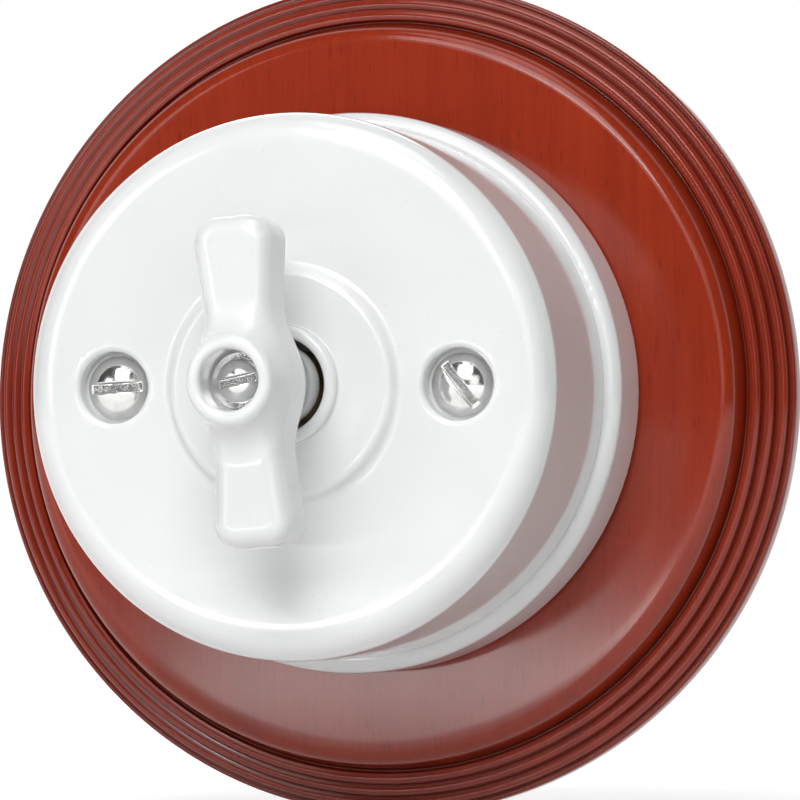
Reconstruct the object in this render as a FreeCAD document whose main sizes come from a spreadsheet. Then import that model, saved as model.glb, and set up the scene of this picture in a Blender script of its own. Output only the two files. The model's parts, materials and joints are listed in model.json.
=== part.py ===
import FreeCAD, Part
import math
import os
from types import SimpleNamespace

import Sketcher

# A porcelain rotary switch on a turned wooden plinth, made to be screwed to a wall.
# The wall is the plane y = 0, the switch faces -Y and +Z is up.
# Every piece is drawn with its own z axis along the spindle, measured from the wall, and its own y axis up.
# Its placement then turns that z axis to -Y.

DIMENSIONS = {
    # Turned wooden plinth
    "plinth_diameter": 100.0,
    "plinth_thickness": 9.5,
    "plinth_back_chamfer": 0.8,
    "plinth_rim_height": 2.4,
    "rim_bead_width": 0.8,
    "rim_bead_rise": 0.6,
    "rim_bead_radius": 0.9,
    "reed_width": 1.43,
    "reed_step": 0.87,
    "groove_width": 0.4,
    "groove_depth": 0.6,
    "plateau_wall_lean": 0.9,
    "plateau_shoulder_radius": 2.0,
    "cable_opening_diameter": 32.0,
    "wall_hole_pitch": 52.0,
    "wall_hole_diameter": 4.5,
    "wall_head_diameter": 8.6,
    "wall_head_depth": 2.6,
    # Porcelain base
    "base_ledge": 1.7,
    "base_height": 10.0,
    "base_edge_radius": 1.6,
    "base_foot_radius": 1.2,
    "base_floor": 6.0,
    "spigot_height": 4.0,
    "spigot_wall": 2.8,
    "spigot_clearance": 0.4,
    "clip_recess_diameter": 15.0,
    "clip_recess_depth": 3.0,
    "wire_hole_diameter": 6.2,
    "wire_hole_gap": 1.0,
    "lug_width": 2.7,
    "lug_length": 2.0,
    "lug_height": 6.4,
    "lug_slot_clearance": 0.1,
    "lug_leg_gap": 0.9,
    # Porcelain cover
    "cover_height": 23.9,
    "cover_wall": 3.6,
    "cover_top_wall": 5.0,
    "cover_rim_radius": 3.5,
    "cover_inner_radius": 2.0,
    "boss_diameter": 28.4,
    "boss_step_width": 1.8,
    "boss_rise": 1.3,
    "opening_bead_width": 1.5,
    "opening_bead_wall": 0.6,
    "opening_bead_radius": 0.8,
    "hub_clearance": 0.85,
    # Cover screws and the posts that they go into
    "cover_screw_recess_diameter": 8.2,
    "cover_screw_recess_depth": 2.6,
    "cover_screw_recess_lip": 0.8,
    "cover_screw_head_diameter": 7.2,
    "cover_screw_head_height": 2.4,
    "cover_screw_head_rim": 0.7,
    "cover_screw_diameter": 3.9,
    "cover_screw_length": 12.0,
    "cover_screw_slot_width": 1.1,
    "cover_screw_slot_depth": 1.2,
    "post_diameter": 7.0,
    "post_gap": 0.3,
    "post_wall_gap": 0.4,
    "post_spigot_diameter": 4.4,
    "post_rivet_diameter": 6.6,
    "post_rivet_height": 1.2,
    "post_recess_depth": 2.4,
    "thread_clearance": 0.05,
    "screw_hole_clearance": 0.25,
    # Wood screws and washers that hold the base on the plinth
    "fixing_wall_gap": 0.1,
    "fixing_screw_diameter": 3.4,
    "fixing_screw_length": 13.0,
    "fixing_head_diameter": 6.4,
    "fixing_head_height": 2.2,
    "fixing_head_rim": 0.6,
    "fixing_slot_width": 1.0,
    "fixing_slot_depth": 1.0,
    "fixing_washer_diameter": 7.6,
    "fixing_washer_thickness": 0.8,
    # Terminals, their screws and the contact springs
    "terminal_wall_gap": 2.7,
    "terminal_width": 7.0,
    "terminal_depth": 6.6,
    "terminal_height": 11.0,
    "terminal_edge": 0.6,
    "terminal_wire_hole": 3.2,
    "terminal_wire_height": 6.0,
    "clamp_screw_diameter": 3.2,
    "clamp_head_diameter": 5.2,
    "clamp_head_height": 2.0,
    "clamp_head_rim": 0.8,
    "clamp_slot_width": 0.9,
    "clamp_slot_depth": 1.0,
    "terminal_screw_diameter": 2.9,
    "terminal_screw_reach": 3.2,
    "terminal_screw_head_diameter": 5.4,
    "terminal_screw_head_height": 1.6,
    "terminal_screw_slot_width": 0.8,
    "terminal_screw_slot_depth": 0.8,
    "terminal_recess_diameter": 6.2,
    "terminal_recess_depth": 2.4,
    "spring_width": 4.0,
    "spring_thickness": 0.5,
    "spring_leg_gap": 0.9,
    "spring_leg_height": 7.5,
    "spring_reach": 4.55,
    "spring_tip_rise": 2.8,
    "spring_tip_flare": 1.4,
    "contact_gap": 0.15,
    # Rotor
    "journal_diameter": 5.0,
    "journal_clearance": 0.05,
    "bush_diameter": 8.0,
    "bush_flange_diameter": 11.0,
    "bush_flange_thickness": 1.0,
    "thrust_washer_thickness": 0.4,
    "thrust_washer_diameter": 10.0,
    "spindle_collar_diameter": 9.0,
    "spindle_collar_thickness": 1.0,
    "spindle_square": 4.5,
    "square_clearance": 0.05,
    "spindle_tail": 2.2,
    "clip_groove_diameter": 3.8,
    "clip_thickness": 0.8,
    "clip_diameter": 9.0,
    "clip_mouth": 3.0,
    "clip_washer_thickness": 0.4,
    "clip_washer_diameter": 12.0,
    "cam_width": 12.0,
    "cam_corner_radius": 1.5,
    "cam_thickness": 4.5,
    "detent_spring_thickness": 0.4,
    "detent_spring_width": 3.8,
    "detent_gap": 0.15,
    "drum_diameter": 18.0,
    "drum_height": 12.5,
    "bridge_thickness": 1.0,
    "bridge_width": 6.0,
    "bridge_half_span": 52.0,
    "sleeve_diameter": 8.4,
    "sleeve_wall": 0.9,
    # Porcelain knob, its screw and washer
    "knob_length": 37.0,
    "knob_lean": 4.5,
    "knob_entry": 1.2,
    "hub_root_diameter": 9.2,
    "hub_front_diameter": 10.0,
    "hub_front_height": 18.3,
    "hub_edge_radius": 0.9,
    "wing_gap": 7.0,
    "wing_thickness": 7.5,
    "wing_tip_width": 9.2,
    "wing_waist_width": 7.4,
    "wing_corner_radius": 3.0,
    "wing_front_round": 2.2,
    "wing_back_round": 1.2,
    "wing_blend_radius": 2.0,
    "knob_recess_diameter": 6.8,
    "knob_recess_depth": 4.6,
    "knob_recess_lip": 0.5,
    "knob_web": 1.8,
    "knob_socket_clearance": 0.4,
    "knob_screw_diameter": 2.9,
    "knob_screw_length": 10.0,
    "knob_screw_head_diameter": 4.8,
    "knob_screw_head_height": 1.8,
    "knob_screw_head_rim": 0.8,
    "knob_screw_slot_width": 1.0,
    "knob_screw_slot_depth": 1.0,
    "knob_washer_diameter": 6.3,
    "knob_washer_thickness": 0.4,
}

TERMINAL_ANGLES = {"upper_right": 45.0, "upper_left": 135.0, "lower_left": 225.0, "lower_right": 315.0}
COVER_SCREW_TURNS = {"left": 3.0, "right": -52.0}
KNOB_SCREW_TURN = 12.0
FIXING_SCREW_TURNS = {"upper": 30.0, "lower": -65.0}
REED_COUNT = 3
REED_ROUNDNESS = 0.56
CUT_MARGIN = 1.0
TOUCH_TOLERANCE = 0.001
EDGE_SAMPLES = 5

TOWARDS_ROOM = FreeCAD.Rotation(FreeCAD.Vector(1, 0, 0), 90)
SPINDLE_AXIS = FreeCAD.Vector(0, 0, 1)


class Size:
    """A length or angle, kept as a number and as the spreadsheet expression that gives it."""

    def __init__(self, value, text):
        self.value = value
        self.text = text

    def __add__(self, other):
        other = as_size(other)
        return Size(self.value + other.value, f"({self.text} + {other.text})")

    def __radd__(self, other):
        return as_size(other) + self

    def __sub__(self, other):
        other = as_size(other)
        return Size(self.value - other.value, f"({self.text} - {other.text})")

    def __rsub__(self, other):
        return as_size(other) - self

    def __mul__(self, other):
        other = as_size(other)
        return Size(self.value * other.value, f"({self.text} * {other.text})")

    def __rmul__(self, other):
        return as_size(other) * self

    def __truediv__(self, other):
        other = as_size(other)
        return Size(self.value / other.value, f"({self.text} / {other.text})")

    def __neg__(self):
        return Size(-self.value, f"(0 - {self.text})")


def as_size(number):
    return number if isinstance(number, Size) else Size(float(number), repr(float(number)))


def hypotenuse(across, up):
    return Size(math.hypot(across.value, up.value), f"sqrt({across.text} ^ 2 + {up.text} ^ 2)")


def sine(angle):
    return Size(math.sin(math.radians(angle.value)), f"sin({angle.text})")


def cosine(angle):
    return Size(math.cos(math.radians(angle.value)), f"cos({angle.text})")


def dome_radius(half_width, rise):
    """The radius of an arc that is level at its top and falls by rise over half_width."""
    return (half_width * half_width + rise * rise) / (2 * rise)


doc = FreeCAD.newDocument("PorcelainRotarySwitch")
sheet = doc.addObject("Spreadsheet::Sheet", "Dimensions")
for row, (alias, number) in enumerate(DIMENSIONS.items(), start=1):
    sheet.set(f"A{row}", alias)
    sheet.set(f"B{row}", str(number))
    sheet.setAlias(f"B{row}", alias)
doc.recompute()
dim = SimpleNamespace(
    **{alias: Size(float(sheet.get(alias)), f"Dimensions.{alias}") for alias in DIMENSIONS}
)

# Heights above the wall, in the order in which the switch is put together
plinth_face = dim.plinth_thickness
base_floor = plinth_face + dim.base_floor
base_top = plinth_face + dim.base_height
clip_recess_top = plinth_face + dim.clip_recess_depth
cover_seat = base_top
cover_face = cover_seat + dim.cover_height
cover_ceiling = cover_face - dim.cover_top_wall
boss_face = cover_face + dim.boss_rise
cover_screw_seat = cover_face - dim.cover_screw_recess_depth

bush_flange_top = base_floor + dim.bush_flange_thickness
collar_bottom = bush_flange_top + dim.thrust_washer_thickness
cam_bottom = collar_bottom + dim.spindle_collar_thickness
drum_bottom = cam_bottom + dim.cam_thickness
drum_top = drum_bottom + dim.drum_height
bridge_middle = drum_bottom + dim.drum_height / 2
clip_top = clip_recess_top - dim.clip_washer_thickness
clip_bottom = clip_top - dim.clip_thickness
spindle_bottom = clip_recess_top - dim.spindle_tail

knob_bottom = boss_face - dim.knob_entry
hub_front = boss_face + dim.hub_front_height
knob_recess_floor = hub_front - dim.knob_recess_depth
knob_socket_top = knob_recess_floor - dim.knob_web
spindle_top = knob_socket_top - dim.knob_socket_clearance
wing_back = boss_face + dim.wing_gap
wing_front = wing_back + dim.wing_thickness
knob_screw_seat = knob_recess_floor + dim.knob_washer_thickness

terminal_bottom = base_floor + dim.spring_thickness
terminal_top = terminal_bottom + dim.terminal_height
fixing_seat = base_floor + dim.fixing_washer_thickness
post_top = cover_ceiling - dim.post_gap
lug_middle = cam_bottom + dim.cam_thickness / 2

# Radii from the spindle outwards: the works settle how wide the base and the cover are
contact_nose = dim.drum_diameter / 2 + dim.contact_gap
spring_leg_inside = contact_nose + dim.spring_reach
spring_leg_outside = spring_leg_inside + dim.spring_thickness
terminal_inside = spring_leg_outside + dim.spring_leg_gap
terminal_outside = terminal_inside + dim.terminal_depth
terminal_radius = (terminal_inside + terminal_outside) / 2
works_radius = terminal_outside + dim.terminal_wall_gap
spigot_radius = works_radius + dim.spigot_wall
cover_inside = spigot_radius + dim.spigot_clearance
cover_outside = cover_inside + dim.cover_wall
base_outside = cover_outside + dim.base_ledge
cover_screw_radius = works_radius - dim.post_wall_gap - dim.post_diameter / 2
fixing_screw_radius = works_radius - dim.fixing_wall_gap - dim.fixing_washer_diameter / 2
wire_hole_outside = fixing_screw_radius - dim.fixing_washer_diameter / 2 - dim.wire_hole_gap
wire_hole_radius = wire_hole_outside - dim.wire_hole_diameter / 2
detent_spring_inner = dim.cam_width / 2 + dim.detent_gap
detent_spring_middle = detent_spring_inner + dim.detent_spring_thickness / 2
lug_corner = (spring_leg_inside - dim.lug_leg_gap) * math.sqrt(2)
lug_end = lug_corner - detent_spring_middle - dim.lug_width / 2

# Bores and holes that more than one piece shares
spindle_opening_radius = dim.hub_root_diameter / 2 + dim.hub_clearance
journal_bore_radius = dim.journal_diameter / 2 + dim.journal_clearance
square_bore = dim.spindle_square + 2 * dim.square_clearance
cover_screw_bore = dim.cover_screw_diameter + 2 * dim.thread_clearance
cover_screw_hole = dim.cover_screw_diameter + 2 * dim.screw_hole_clearance
fixing_screw_bore = dim.fixing_screw_diameter + 2 * dim.thread_clearance
fixing_screw_hole = dim.fixing_screw_diameter + 2 * dim.screw_hole_clearance
clamp_screw_bore = dim.clamp_screw_diameter + 2 * dim.thread_clearance
terminal_screw_bore = dim.terminal_screw_diameter + 2 * dim.thread_clearance
terminal_screw_hole = dim.terminal_screw_diameter + 2 * dim.screw_hole_clearance
knob_screw_bore = dim.knob_screw_diameter + 2 * dim.thread_clearance
knob_screw_hole = dim.knob_screw_diameter + 2 * dim.screw_hole_clearance


# Drawing helpers


def new_body(label, turn=0.0, across=None, up=None):
    """A body whose z axis is the spindle's, turned about it and moved across and up from it."""
    body = doc.addObject("PartDesign::Body", label)
    body.Label = label
    body.Placement = FreeCAD.Placement(
        FreeCAD.Vector(), TOWARDS_ROOM * FreeCAD.Rotation(SPINDLE_AXIS, turn)
    )
    if across is not None:
        body.setExpression("Placement.Base.x", across.text)
    if up is not None:
        body.setExpression("Placement.Base.z", up.text)
    return body


def new_sketch(body, name, plane="XY_Plane", height=None, across=None):
    """A sketch on one of the body's own planes, height above it and moved across it."""
    sketch = body.newObject("Sketcher::SketchObject", name)
    support = next(item for item in body.Origin.OriginFeatures if item.Role == plane)
    sketch.AttachmentSupport = [(support, "")]
    sketch.MapMode = "FlatFace"
    if height is not None:
        sketch.setExpression("AttachmentOffset.Base.z", height.text)
    if across is not None:
        sketch.setExpression("AttachmentOffset.Base.x", across.text)
    return sketch


def bind(sketch, kind, *where, size):
    """Add a dimension to the sketch and tie it to the sheet."""
    index = sketch.addConstraint(Sketcher.Constraint(kind, *where, size.value))
    name = f"{kind}_{index}"
    sketch.renameConstraint(index, name)
    sketch.setExpression(f"Constraints.{name}", size.text)


def arc_between(start, end, radius):
    """The shorter arc from start to end, bulging to the right of the way for a positive radius."""
    chord = end - start
    left = FreeCAD.Vector(-chord.y, chord.x, 0).normalize()
    rise = math.sqrt(max(radius * radius - chord.Length ** 2 / 4, 0.0))
    centre = (start + end) / 2 + left * math.copysign(rise, radius)
    first, last = (start, end) if radius > 0 else (end, start)
    first_angle = math.atan2(first.y - centre.y, first.x - centre.x)
    last_angle = math.atan2(last.y - centre.y, last.x - centre.x)
    if last_angle < first_angle:
        last_angle += 2 * math.pi
    circle = Part.Circle(centre, FreeCAD.Vector(0, 0, 1), abs(radius))
    return Part.ArcOfCircle(circle, first_angle, last_angle)


def draw_outline(sketch, corners):
    """Draw a closed outline anticlockwise through its corners.

    A corner is (x, y) where the edge that leaves it is straight, or (x, y, radius) where it is an arc:
    a positive radius bulges outwards, a negative one inwards.
    """
    corners = [tuple(as_size(number) for number in corner) for corner in corners]
    points = [FreeCAD.Vector(corner[0].value, corner[1].value, 0) for corner in corners]
    ends = []
    for here, corner in enumerate(corners):
        start = points[here]
        end = points[(here + 1) % len(points)]
        if len(corner) == 2:
            edge = sketch.addGeometry(Part.LineSegment(start, end))
            ends.append((edge, 1, 2))
        else:
            edge = sketch.addGeometry(arc_between(start, end, corner[2].value))
            ends.append((edge, 1, 2) if corner[2].value > 0 else (edge, 2, 1))
    for here, (edge, _, end) in enumerate(ends):
        following, start, _ = ends[(here + 1) % len(ends)]
        sketch.addConstraint(Sketcher.Constraint("Coincident", edge, end, following, start))
    for corner, (edge, start, _) in zip(corners, ends):
        bind(sketch, "DistanceX", edge, start, size=corner[0])
        bind(sketch, "DistanceY", edge, start, size=corner[1])
        if len(corner) == 3:
            bend = corner[2] if corner[2].value > 0 else -corner[2]
            bind(sketch, "Radius", edge, size=bend)


def draw_box(sketch, left, bottom, right, top):
    draw_outline(sketch, [(left, bottom), (right, bottom), (right, top), (left, top)])


def draw_square(sketch, width):
    draw_box(sketch, -(width / 2), -(width / 2), width / 2, width / 2)


def draw_circle(sketch, diameter, across=0.0, up=0.0):
    across = as_size(across)
    up = as_size(up)
    centre = FreeCAD.Vector(across.value, up.value, 0)
    circle = Part.Circle(centre, FreeCAD.Vector(0, 0, 1), diameter.value / 2)
    edge = sketch.addGeometry(circle)
    bind(sketch, "DistanceX", edge, 3, size=across)
    bind(sketch, "DistanceY", edge, 3, size=up)
    bind(sketch, "Diameter", edge, size=diameter)


def draw_ring(sketch, outer, inner):
    draw_circle(sketch, outer)
    draw_circle(sketch, inner)


def revolve(body, name, corners):
    """Turn a profile of (radius, height) corners about the body's z axis."""
    sketch = new_sketch(body, f"{name}_profile", "XZ_Plane")
    draw_outline(sketch, corners)
    feature = body.newObject("PartDesign::Revolution", name)
    feature.Profile = sketch
    feature.ReferenceAxis = (sketch, ["V_Axis"])
    feature.Angle = 360
    doc.recompute()


def pad(body, name, sketch, length, both_ways=False):
    feature = body.newObject("PartDesign::Pad", name)
    feature.Profile = sketch
    feature.setExpression("Length", length.text)
    if both_ways:
        feature.SideType = "Symmetric"
    doc.recompute()


def require_cut(body, name, whole):
    """Stop if the body's last feature took nothing off the whole volume that it had before."""
    doc.recompute()
    if not body.Tip.Shape.Volume < whole:
        raise RuntimeError(f"{body.Label}: {name} cut nothing")


def pocket(body, name, sketch, depth, upwards=False, both_ways=False):
    """Cut the sketch into the body, down from the sketch's plane unless it is told otherwise."""
    whole = body.Tip.Shape.Volume
    feature = body.newObject("PartDesign::Pocket", name)
    feature.Profile = sketch
    feature.Reversed = upwards
    feature.setExpression("Length", depth.text)
    if both_ways:
        feature.SideType = "Symmetric"
    require_cut(body, name, whole)


def groove(body, name, corners, across=None):
    """Turn a profile of (radius, height) corners about an axis across from the body's own, and cut it away."""
    whole = body.Tip.Shape.Volume
    sketch = new_sketch(body, f"{name}_profile", "XZ_Plane", across=across)
    draw_outline(sketch, corners)
    feature = body.newObject("PartDesign::Groove", name)
    feature.Profile = sketch
    feature.ReferenceAxis = (sketch, ["V_Axis"])
    feature.Angle = 360
    require_cut(body, name, whole)


def round_edges(body, name, radius, chosen):
    """Fillet the edges of the body that the test picks."""
    base = body.Tip
    names = [f"Edge{n}" for n, edge in enumerate(base.Shape.Edges, start=1) if chosen(edge)]
    feature = body.newObject("PartDesign::Fillet", name)
    feature.Base = (base, names)
    feature.setExpression("Radius", radius.text)
    doc.recompute()


def lies_at(edge, height):
    """Whether the whole edge is level, at this height."""
    box = edge.BoundBox
    return abs(box.ZMin - height.value) < TOUCH_TOLERANCE and abs(box.ZMax - height.value) < TOUCH_TOLERANCE


def group(label, bodies):
    """Like pieces that share one node."""
    compound = doc.addObject("Part::Compound", label)
    compound.Label = label
    compound.Links = bodies
    doc.recompute()
    return compound


def slotted_screw(body, seat, length, shank, head, head_height, head_rim, slot_width, slot_depth):
    """A domed screw whose head stands on seat and whose shank runs down from there."""
    dome = dome_radius(head / 2, head_height - head_rim)
    head_top = seat + head_height
    revolve(
        body,
        "turned",
        [
            (0, seat - length),
            (shank / 2, seat - length),
            (shank / 2, seat),
            (head / 2, seat),
            (head / 2, seat + head_rim, dome),
            (0, head_top),
        ],
    )
    slot = new_sketch(body, "slot_outline", height=head_top)
    draw_box(slot, -head, -(slot_width / 2), head, slot_width / 2)
    pocket(body, "slot", slot, slot_depth)


# The housing: everything that stays still


def wooden_plinth():
    """Disc with a plateau, a groove, three reeds that step down from it and a bead round the rim."""
    body = new_body("wooden_plinth")
    outside = dim.plinth_diameter / 2
    opening = dim.cable_opening_diameter / 2
    reed_chord = hypotenuse(dim.reed_width, dim.reed_step)
    reed_start = outside - dim.rim_bead_width
    reed_foot = dim.plinth_rim_height + dim.rim_bead_rise
    reeds = [
        (
            reed_start - count * dim.reed_width,
            reed_foot + count * dim.reed_step,
            REED_ROUNDNESS * reed_chord,
        )
        for count in range(REED_COUNT)
    ]
    reed_end = reed_start - REED_COUNT * dim.reed_width
    reed_top = reed_foot + REED_COUNT * dim.reed_step
    groove_floor = reed_top - dim.groove_depth
    wall_foot = reed_end - dim.groove_width
    shoulder = wall_foot - dim.plateau_wall_lean
    revolve(
        body,
        "turned_disc",
        [
            (opening, 0),
            (outside - dim.plinth_back_chamfer, 0),
            (outside, dim.plinth_back_chamfer),
            (outside, dim.plinth_rim_height, dim.rim_bead_radius),
            *reeds,
            (reed_end, reed_top),
            (reed_end, groove_floor),
            (wall_foot, groove_floor),
            (shoulder, plinth_face - dim.plateau_shoulder_radius, dim.plateau_shoulder_radius),
            (shoulder - dim.plateau_shoulder_radius, plinth_face),
            (opening, plinth_face),
        ],
    )
    holes = new_sketch(body, "wall_hole_outline", height=plinth_face)
    heads = new_sketch(body, "wall_head_outline", height=plinth_face)
    for side in (-1, 1):
        draw_circle(holes, dim.wall_hole_diameter, across=side * dim.wall_hole_pitch / 2)
        draw_circle(heads, dim.wall_head_diameter, across=side * dim.wall_hole_pitch / 2)
    pocket(body, "wall_holes", holes, dim.plinth_thickness)
    pocket(body, "wall_heads", heads, dim.wall_head_depth)
    pilots = new_sketch(body, "pilot_outline", height=plinth_face)
    for side in (-1, 1):
        draw_circle(pilots, fixing_screw_bore, up=side * fixing_screw_radius)
    pocket(body, "pilot_holes", pilots, plinth_face - fixing_seat + dim.fixing_screw_length)
    return body


def porcelain_base():
    """Dish with a rounded edge, a spigot for the cover and seats for the works."""
    body = new_body("porcelain_base")
    outside = base_outside
    revolve(
        body,
        "pressed_dish",
        [
            (dim.clip_recess_diameter / 2, plinth_face),
            (outside - dim.base_foot_radius, plinth_face, dim.base_foot_radius),
            (outside, plinth_face + dim.base_foot_radius),
            (outside, base_top - dim.base_edge_radius, dim.base_edge_radius),
            (outside - dim.base_edge_radius, base_top),
            (spigot_radius, base_top),
            (spigot_radius, base_top + dim.spigot_height),
            (works_radius, base_top + dim.spigot_height),
            (works_radius, base_floor),
            (dim.bush_diameter / 2, base_floor),
            (dim.bush_diameter / 2, clip_recess_top),
            (dim.clip_recess_diameter / 2, clip_recess_top),
        ],
    )
    lugs = new_sketch(body, "lug_outline", height=base_floor)
    for side in (-1, 1):
        middle = side * detent_spring_middle
        for low in (-lug_end, lug_end - dim.lug_length):
            draw_box(lugs, middle - dim.lug_width / 2, low, middle + dim.lug_width / 2, low + dim.lug_length)
    pad(body, "spring_lugs", lugs, dim.lug_height)
    slots = new_sketch(body, "lug_slot_outline", height=base_floor + dim.lug_height)
    half_slot = dim.detent_spring_thickness / 2 + dim.lug_slot_clearance
    slot_depth = base_floor + dim.lug_height - lug_middle + dim.detent_spring_width / 2
    for side in (-1, 1):
        middle = side * detent_spring_middle
        draw_box(slots, middle - half_slot, -lug_end - CUT_MARGIN, middle + half_slot, lug_end + CUT_MARGIN)
    pocket(body, "lug_slots", slots, slot_depth)
    through = new_sketch(body, "through_hole_outline", height=base_floor)
    recesses = new_sketch(body, "underside_recess_outline", height=plinth_face)
    post_recesses = new_sketch(body, "post_recess_outline", height=plinth_face)
    for side in (-1, 1):
        draw_circle(through, dim.wire_hole_diameter, up=side * wire_hole_radius)
        draw_circle(through, fixing_screw_hole, up=side * fixing_screw_radius)
        draw_circle(through, dim.post_spigot_diameter, across=side * cover_screw_radius)
        draw_circle(post_recesses, dim.post_rivet_diameter, across=side * cover_screw_radius)
    for angle in TERMINAL_ANGLES.values():
        across = terminal_radius * math.cos(math.radians(angle))
        up = terminal_radius * math.sin(math.radians(angle))
        draw_circle(through, terminal_screw_hole, across=across, up=up)
        draw_circle(recesses, dim.terminal_recess_diameter, across=across, up=up)
    pocket(body, "through_holes", through, dim.base_floor)
    pocket(body, "terminal_recesses", recesses, dim.terminal_recess_depth, upwards=True)
    pocket(body, "post_recesses", post_recesses, dim.post_recess_depth, upwards=True)
    return body


def porcelain_cover():
    """Drum with a soft rim, a raised centre, a bead round the spindle and two recesses for its screws."""
    body = new_body("porcelain_cover")
    outside = cover_outside
    inside = cover_inside
    boss_foot = dim.boss_diameter / 2
    step_middle = boss_foot - dim.boss_step_width / 2
    step_bend = dome_radius(dim.boss_step_width / 2, dim.boss_rise / 2)
    opening = spindle_opening_radius
    revolve(
        body,
        "pressed_drum",
        [
            (inside, cover_seat),
            (outside, cover_seat),
            (outside, cover_face - dim.cover_rim_radius, dim.cover_rim_radius),
            (outside - dim.cover_rim_radius, cover_face),
            (boss_foot, cover_face, -step_bend),
            (step_middle, cover_face + dim.boss_rise / 2, step_bend),
            (boss_foot - dim.boss_step_width, boss_face),
            (opening + dim.opening_bead_width, boss_face),
            (opening + dim.opening_bead_width, boss_face + dim.opening_bead_wall, dim.opening_bead_radius),
            (opening, boss_face + dim.opening_bead_wall),
            (opening, cover_ceiling),
            (inside - dim.cover_inner_radius, cover_ceiling, -dim.cover_inner_radius),
            (inside, cover_ceiling - dim.cover_inner_radius),
        ],
    )
    recess = dim.cover_screw_recess_diameter / 2
    lip = dim.cover_screw_recess_lip
    for side, name in ((-1, "left"), (1, "right")):
        groove(
            body,
            f"{name}_recess",
            [
                (0, cover_screw_seat),
                (recess, cover_screw_seat),
                (recess, cover_face - lip, -lip),
                (recess + lip, cover_face),
                (recess + lip, cover_face + CUT_MARGIN),
                (0, cover_face + CUT_MARGIN),
            ],
            across=side * cover_screw_radius,
        )
    holes = new_sketch(body, "screw_hole_outline", height=cover_screw_seat)
    for side in (-1, 1):
        draw_circle(holes, cover_screw_hole, across=side * cover_screw_radius)
    pocket(body, "screw_holes", holes, cover_screw_seat - cover_ceiling)
    return body


def cover_screws():
    screws = []
    for side, name in ((-1, "left"), (1, "right")):
        screw = new_body(
            f"cover_screw_{name}", COVER_SCREW_TURNS[name], across=side * cover_screw_radius
        )
        slotted_screw(
            screw,
            cover_screw_seat,
            dim.cover_screw_length,
            dim.cover_screw_diameter,
            dim.cover_screw_head_diameter,
            dim.cover_screw_head_height,
            dim.cover_screw_head_rim,
            dim.cover_screw_slot_width,
            dim.cover_screw_slot_depth,
        )
        screws.append(screw)
    return group("cover_screws", screws)


def cover_post(side, name):
    """Pillar riveted through the base's floor, tapped at its top for a cover screw."""
    post = new_body(f"cover_post_{name}", across=side * cover_screw_radius)
    rivet_bottom = plinth_face + dim.post_recess_depth - dim.post_rivet_height
    bore = cover_screw_bore / 2
    bore_bottom = cover_screw_seat - dim.cover_screw_length - CUT_MARGIN
    revolve(
        post,
        "turned_pillar",
        [
            (0, rivet_bottom),
            (dim.post_rivet_diameter / 2 - dim.thread_clearance, rivet_bottom),
            (dim.post_rivet_diameter / 2 - dim.thread_clearance, rivet_bottom + dim.post_rivet_height),
            (dim.post_spigot_diameter / 2, rivet_bottom + dim.post_rivet_height),
            (dim.post_spigot_diameter / 2, base_floor),
            (dim.post_diameter / 2, base_floor),
            (dim.post_diameter / 2, post_top),
            (bore, post_top),
            (bore, bore_bottom),
            (0, bore_bottom),
        ],
    )
    return post


def base_fixing_screws():
    screws = []
    for side, name in ((1, "upper"), (-1, "lower")):
        screw = new_body(
            f"base_fixing_screw_{name}", FIXING_SCREW_TURNS[name], up=side * fixing_screw_radius
        )
        slotted_screw(
            screw,
            fixing_seat,
            dim.fixing_screw_length,
            dim.fixing_screw_diameter,
            dim.fixing_head_diameter,
            dim.fixing_head_height,
            dim.fixing_head_rim,
            dim.fixing_slot_width,
            dim.fixing_slot_depth,
        )
        screws.append(screw)
    return group("base_fixing_screws", screws)


def washer(label, outer, inner, bottom, thickness, up=None):
    body = new_body(label, up=up)
    ring = new_sketch(body, "ring", height=bottom)
    draw_ring(ring, outer, inner)
    pad(body, "blank", ring, thickness)
    return body


def fixing_washers():
    washers = [
        washer(
            f"fixing_washer_{name}",
            dim.fixing_washer_diameter,
            fixing_screw_hole,
            base_floor,
            dim.fixing_washer_thickness,
            up=side * fixing_screw_radius,
        )
        for side, name in ((1, "upper"), (-1, "lower"))
    ]
    return group("fixing_washers", washers)


def spindle_bush():
    """Flanged sleeve in the middle of the base's floor."""
    body = new_body("spindle_bush")
    revolve(
        body,
        "turned_sleeve",
        [
            (journal_bore_radius, clip_recess_top),
            (dim.bush_diameter / 2, clip_recess_top),
            (dim.bush_diameter / 2, base_floor),
            (dim.bush_flange_diameter / 2, base_floor),
            (dim.bush_flange_diameter / 2, bush_flange_top),
            (journal_bore_radius, bush_flange_top),
        ],
    )
    return body


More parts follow.
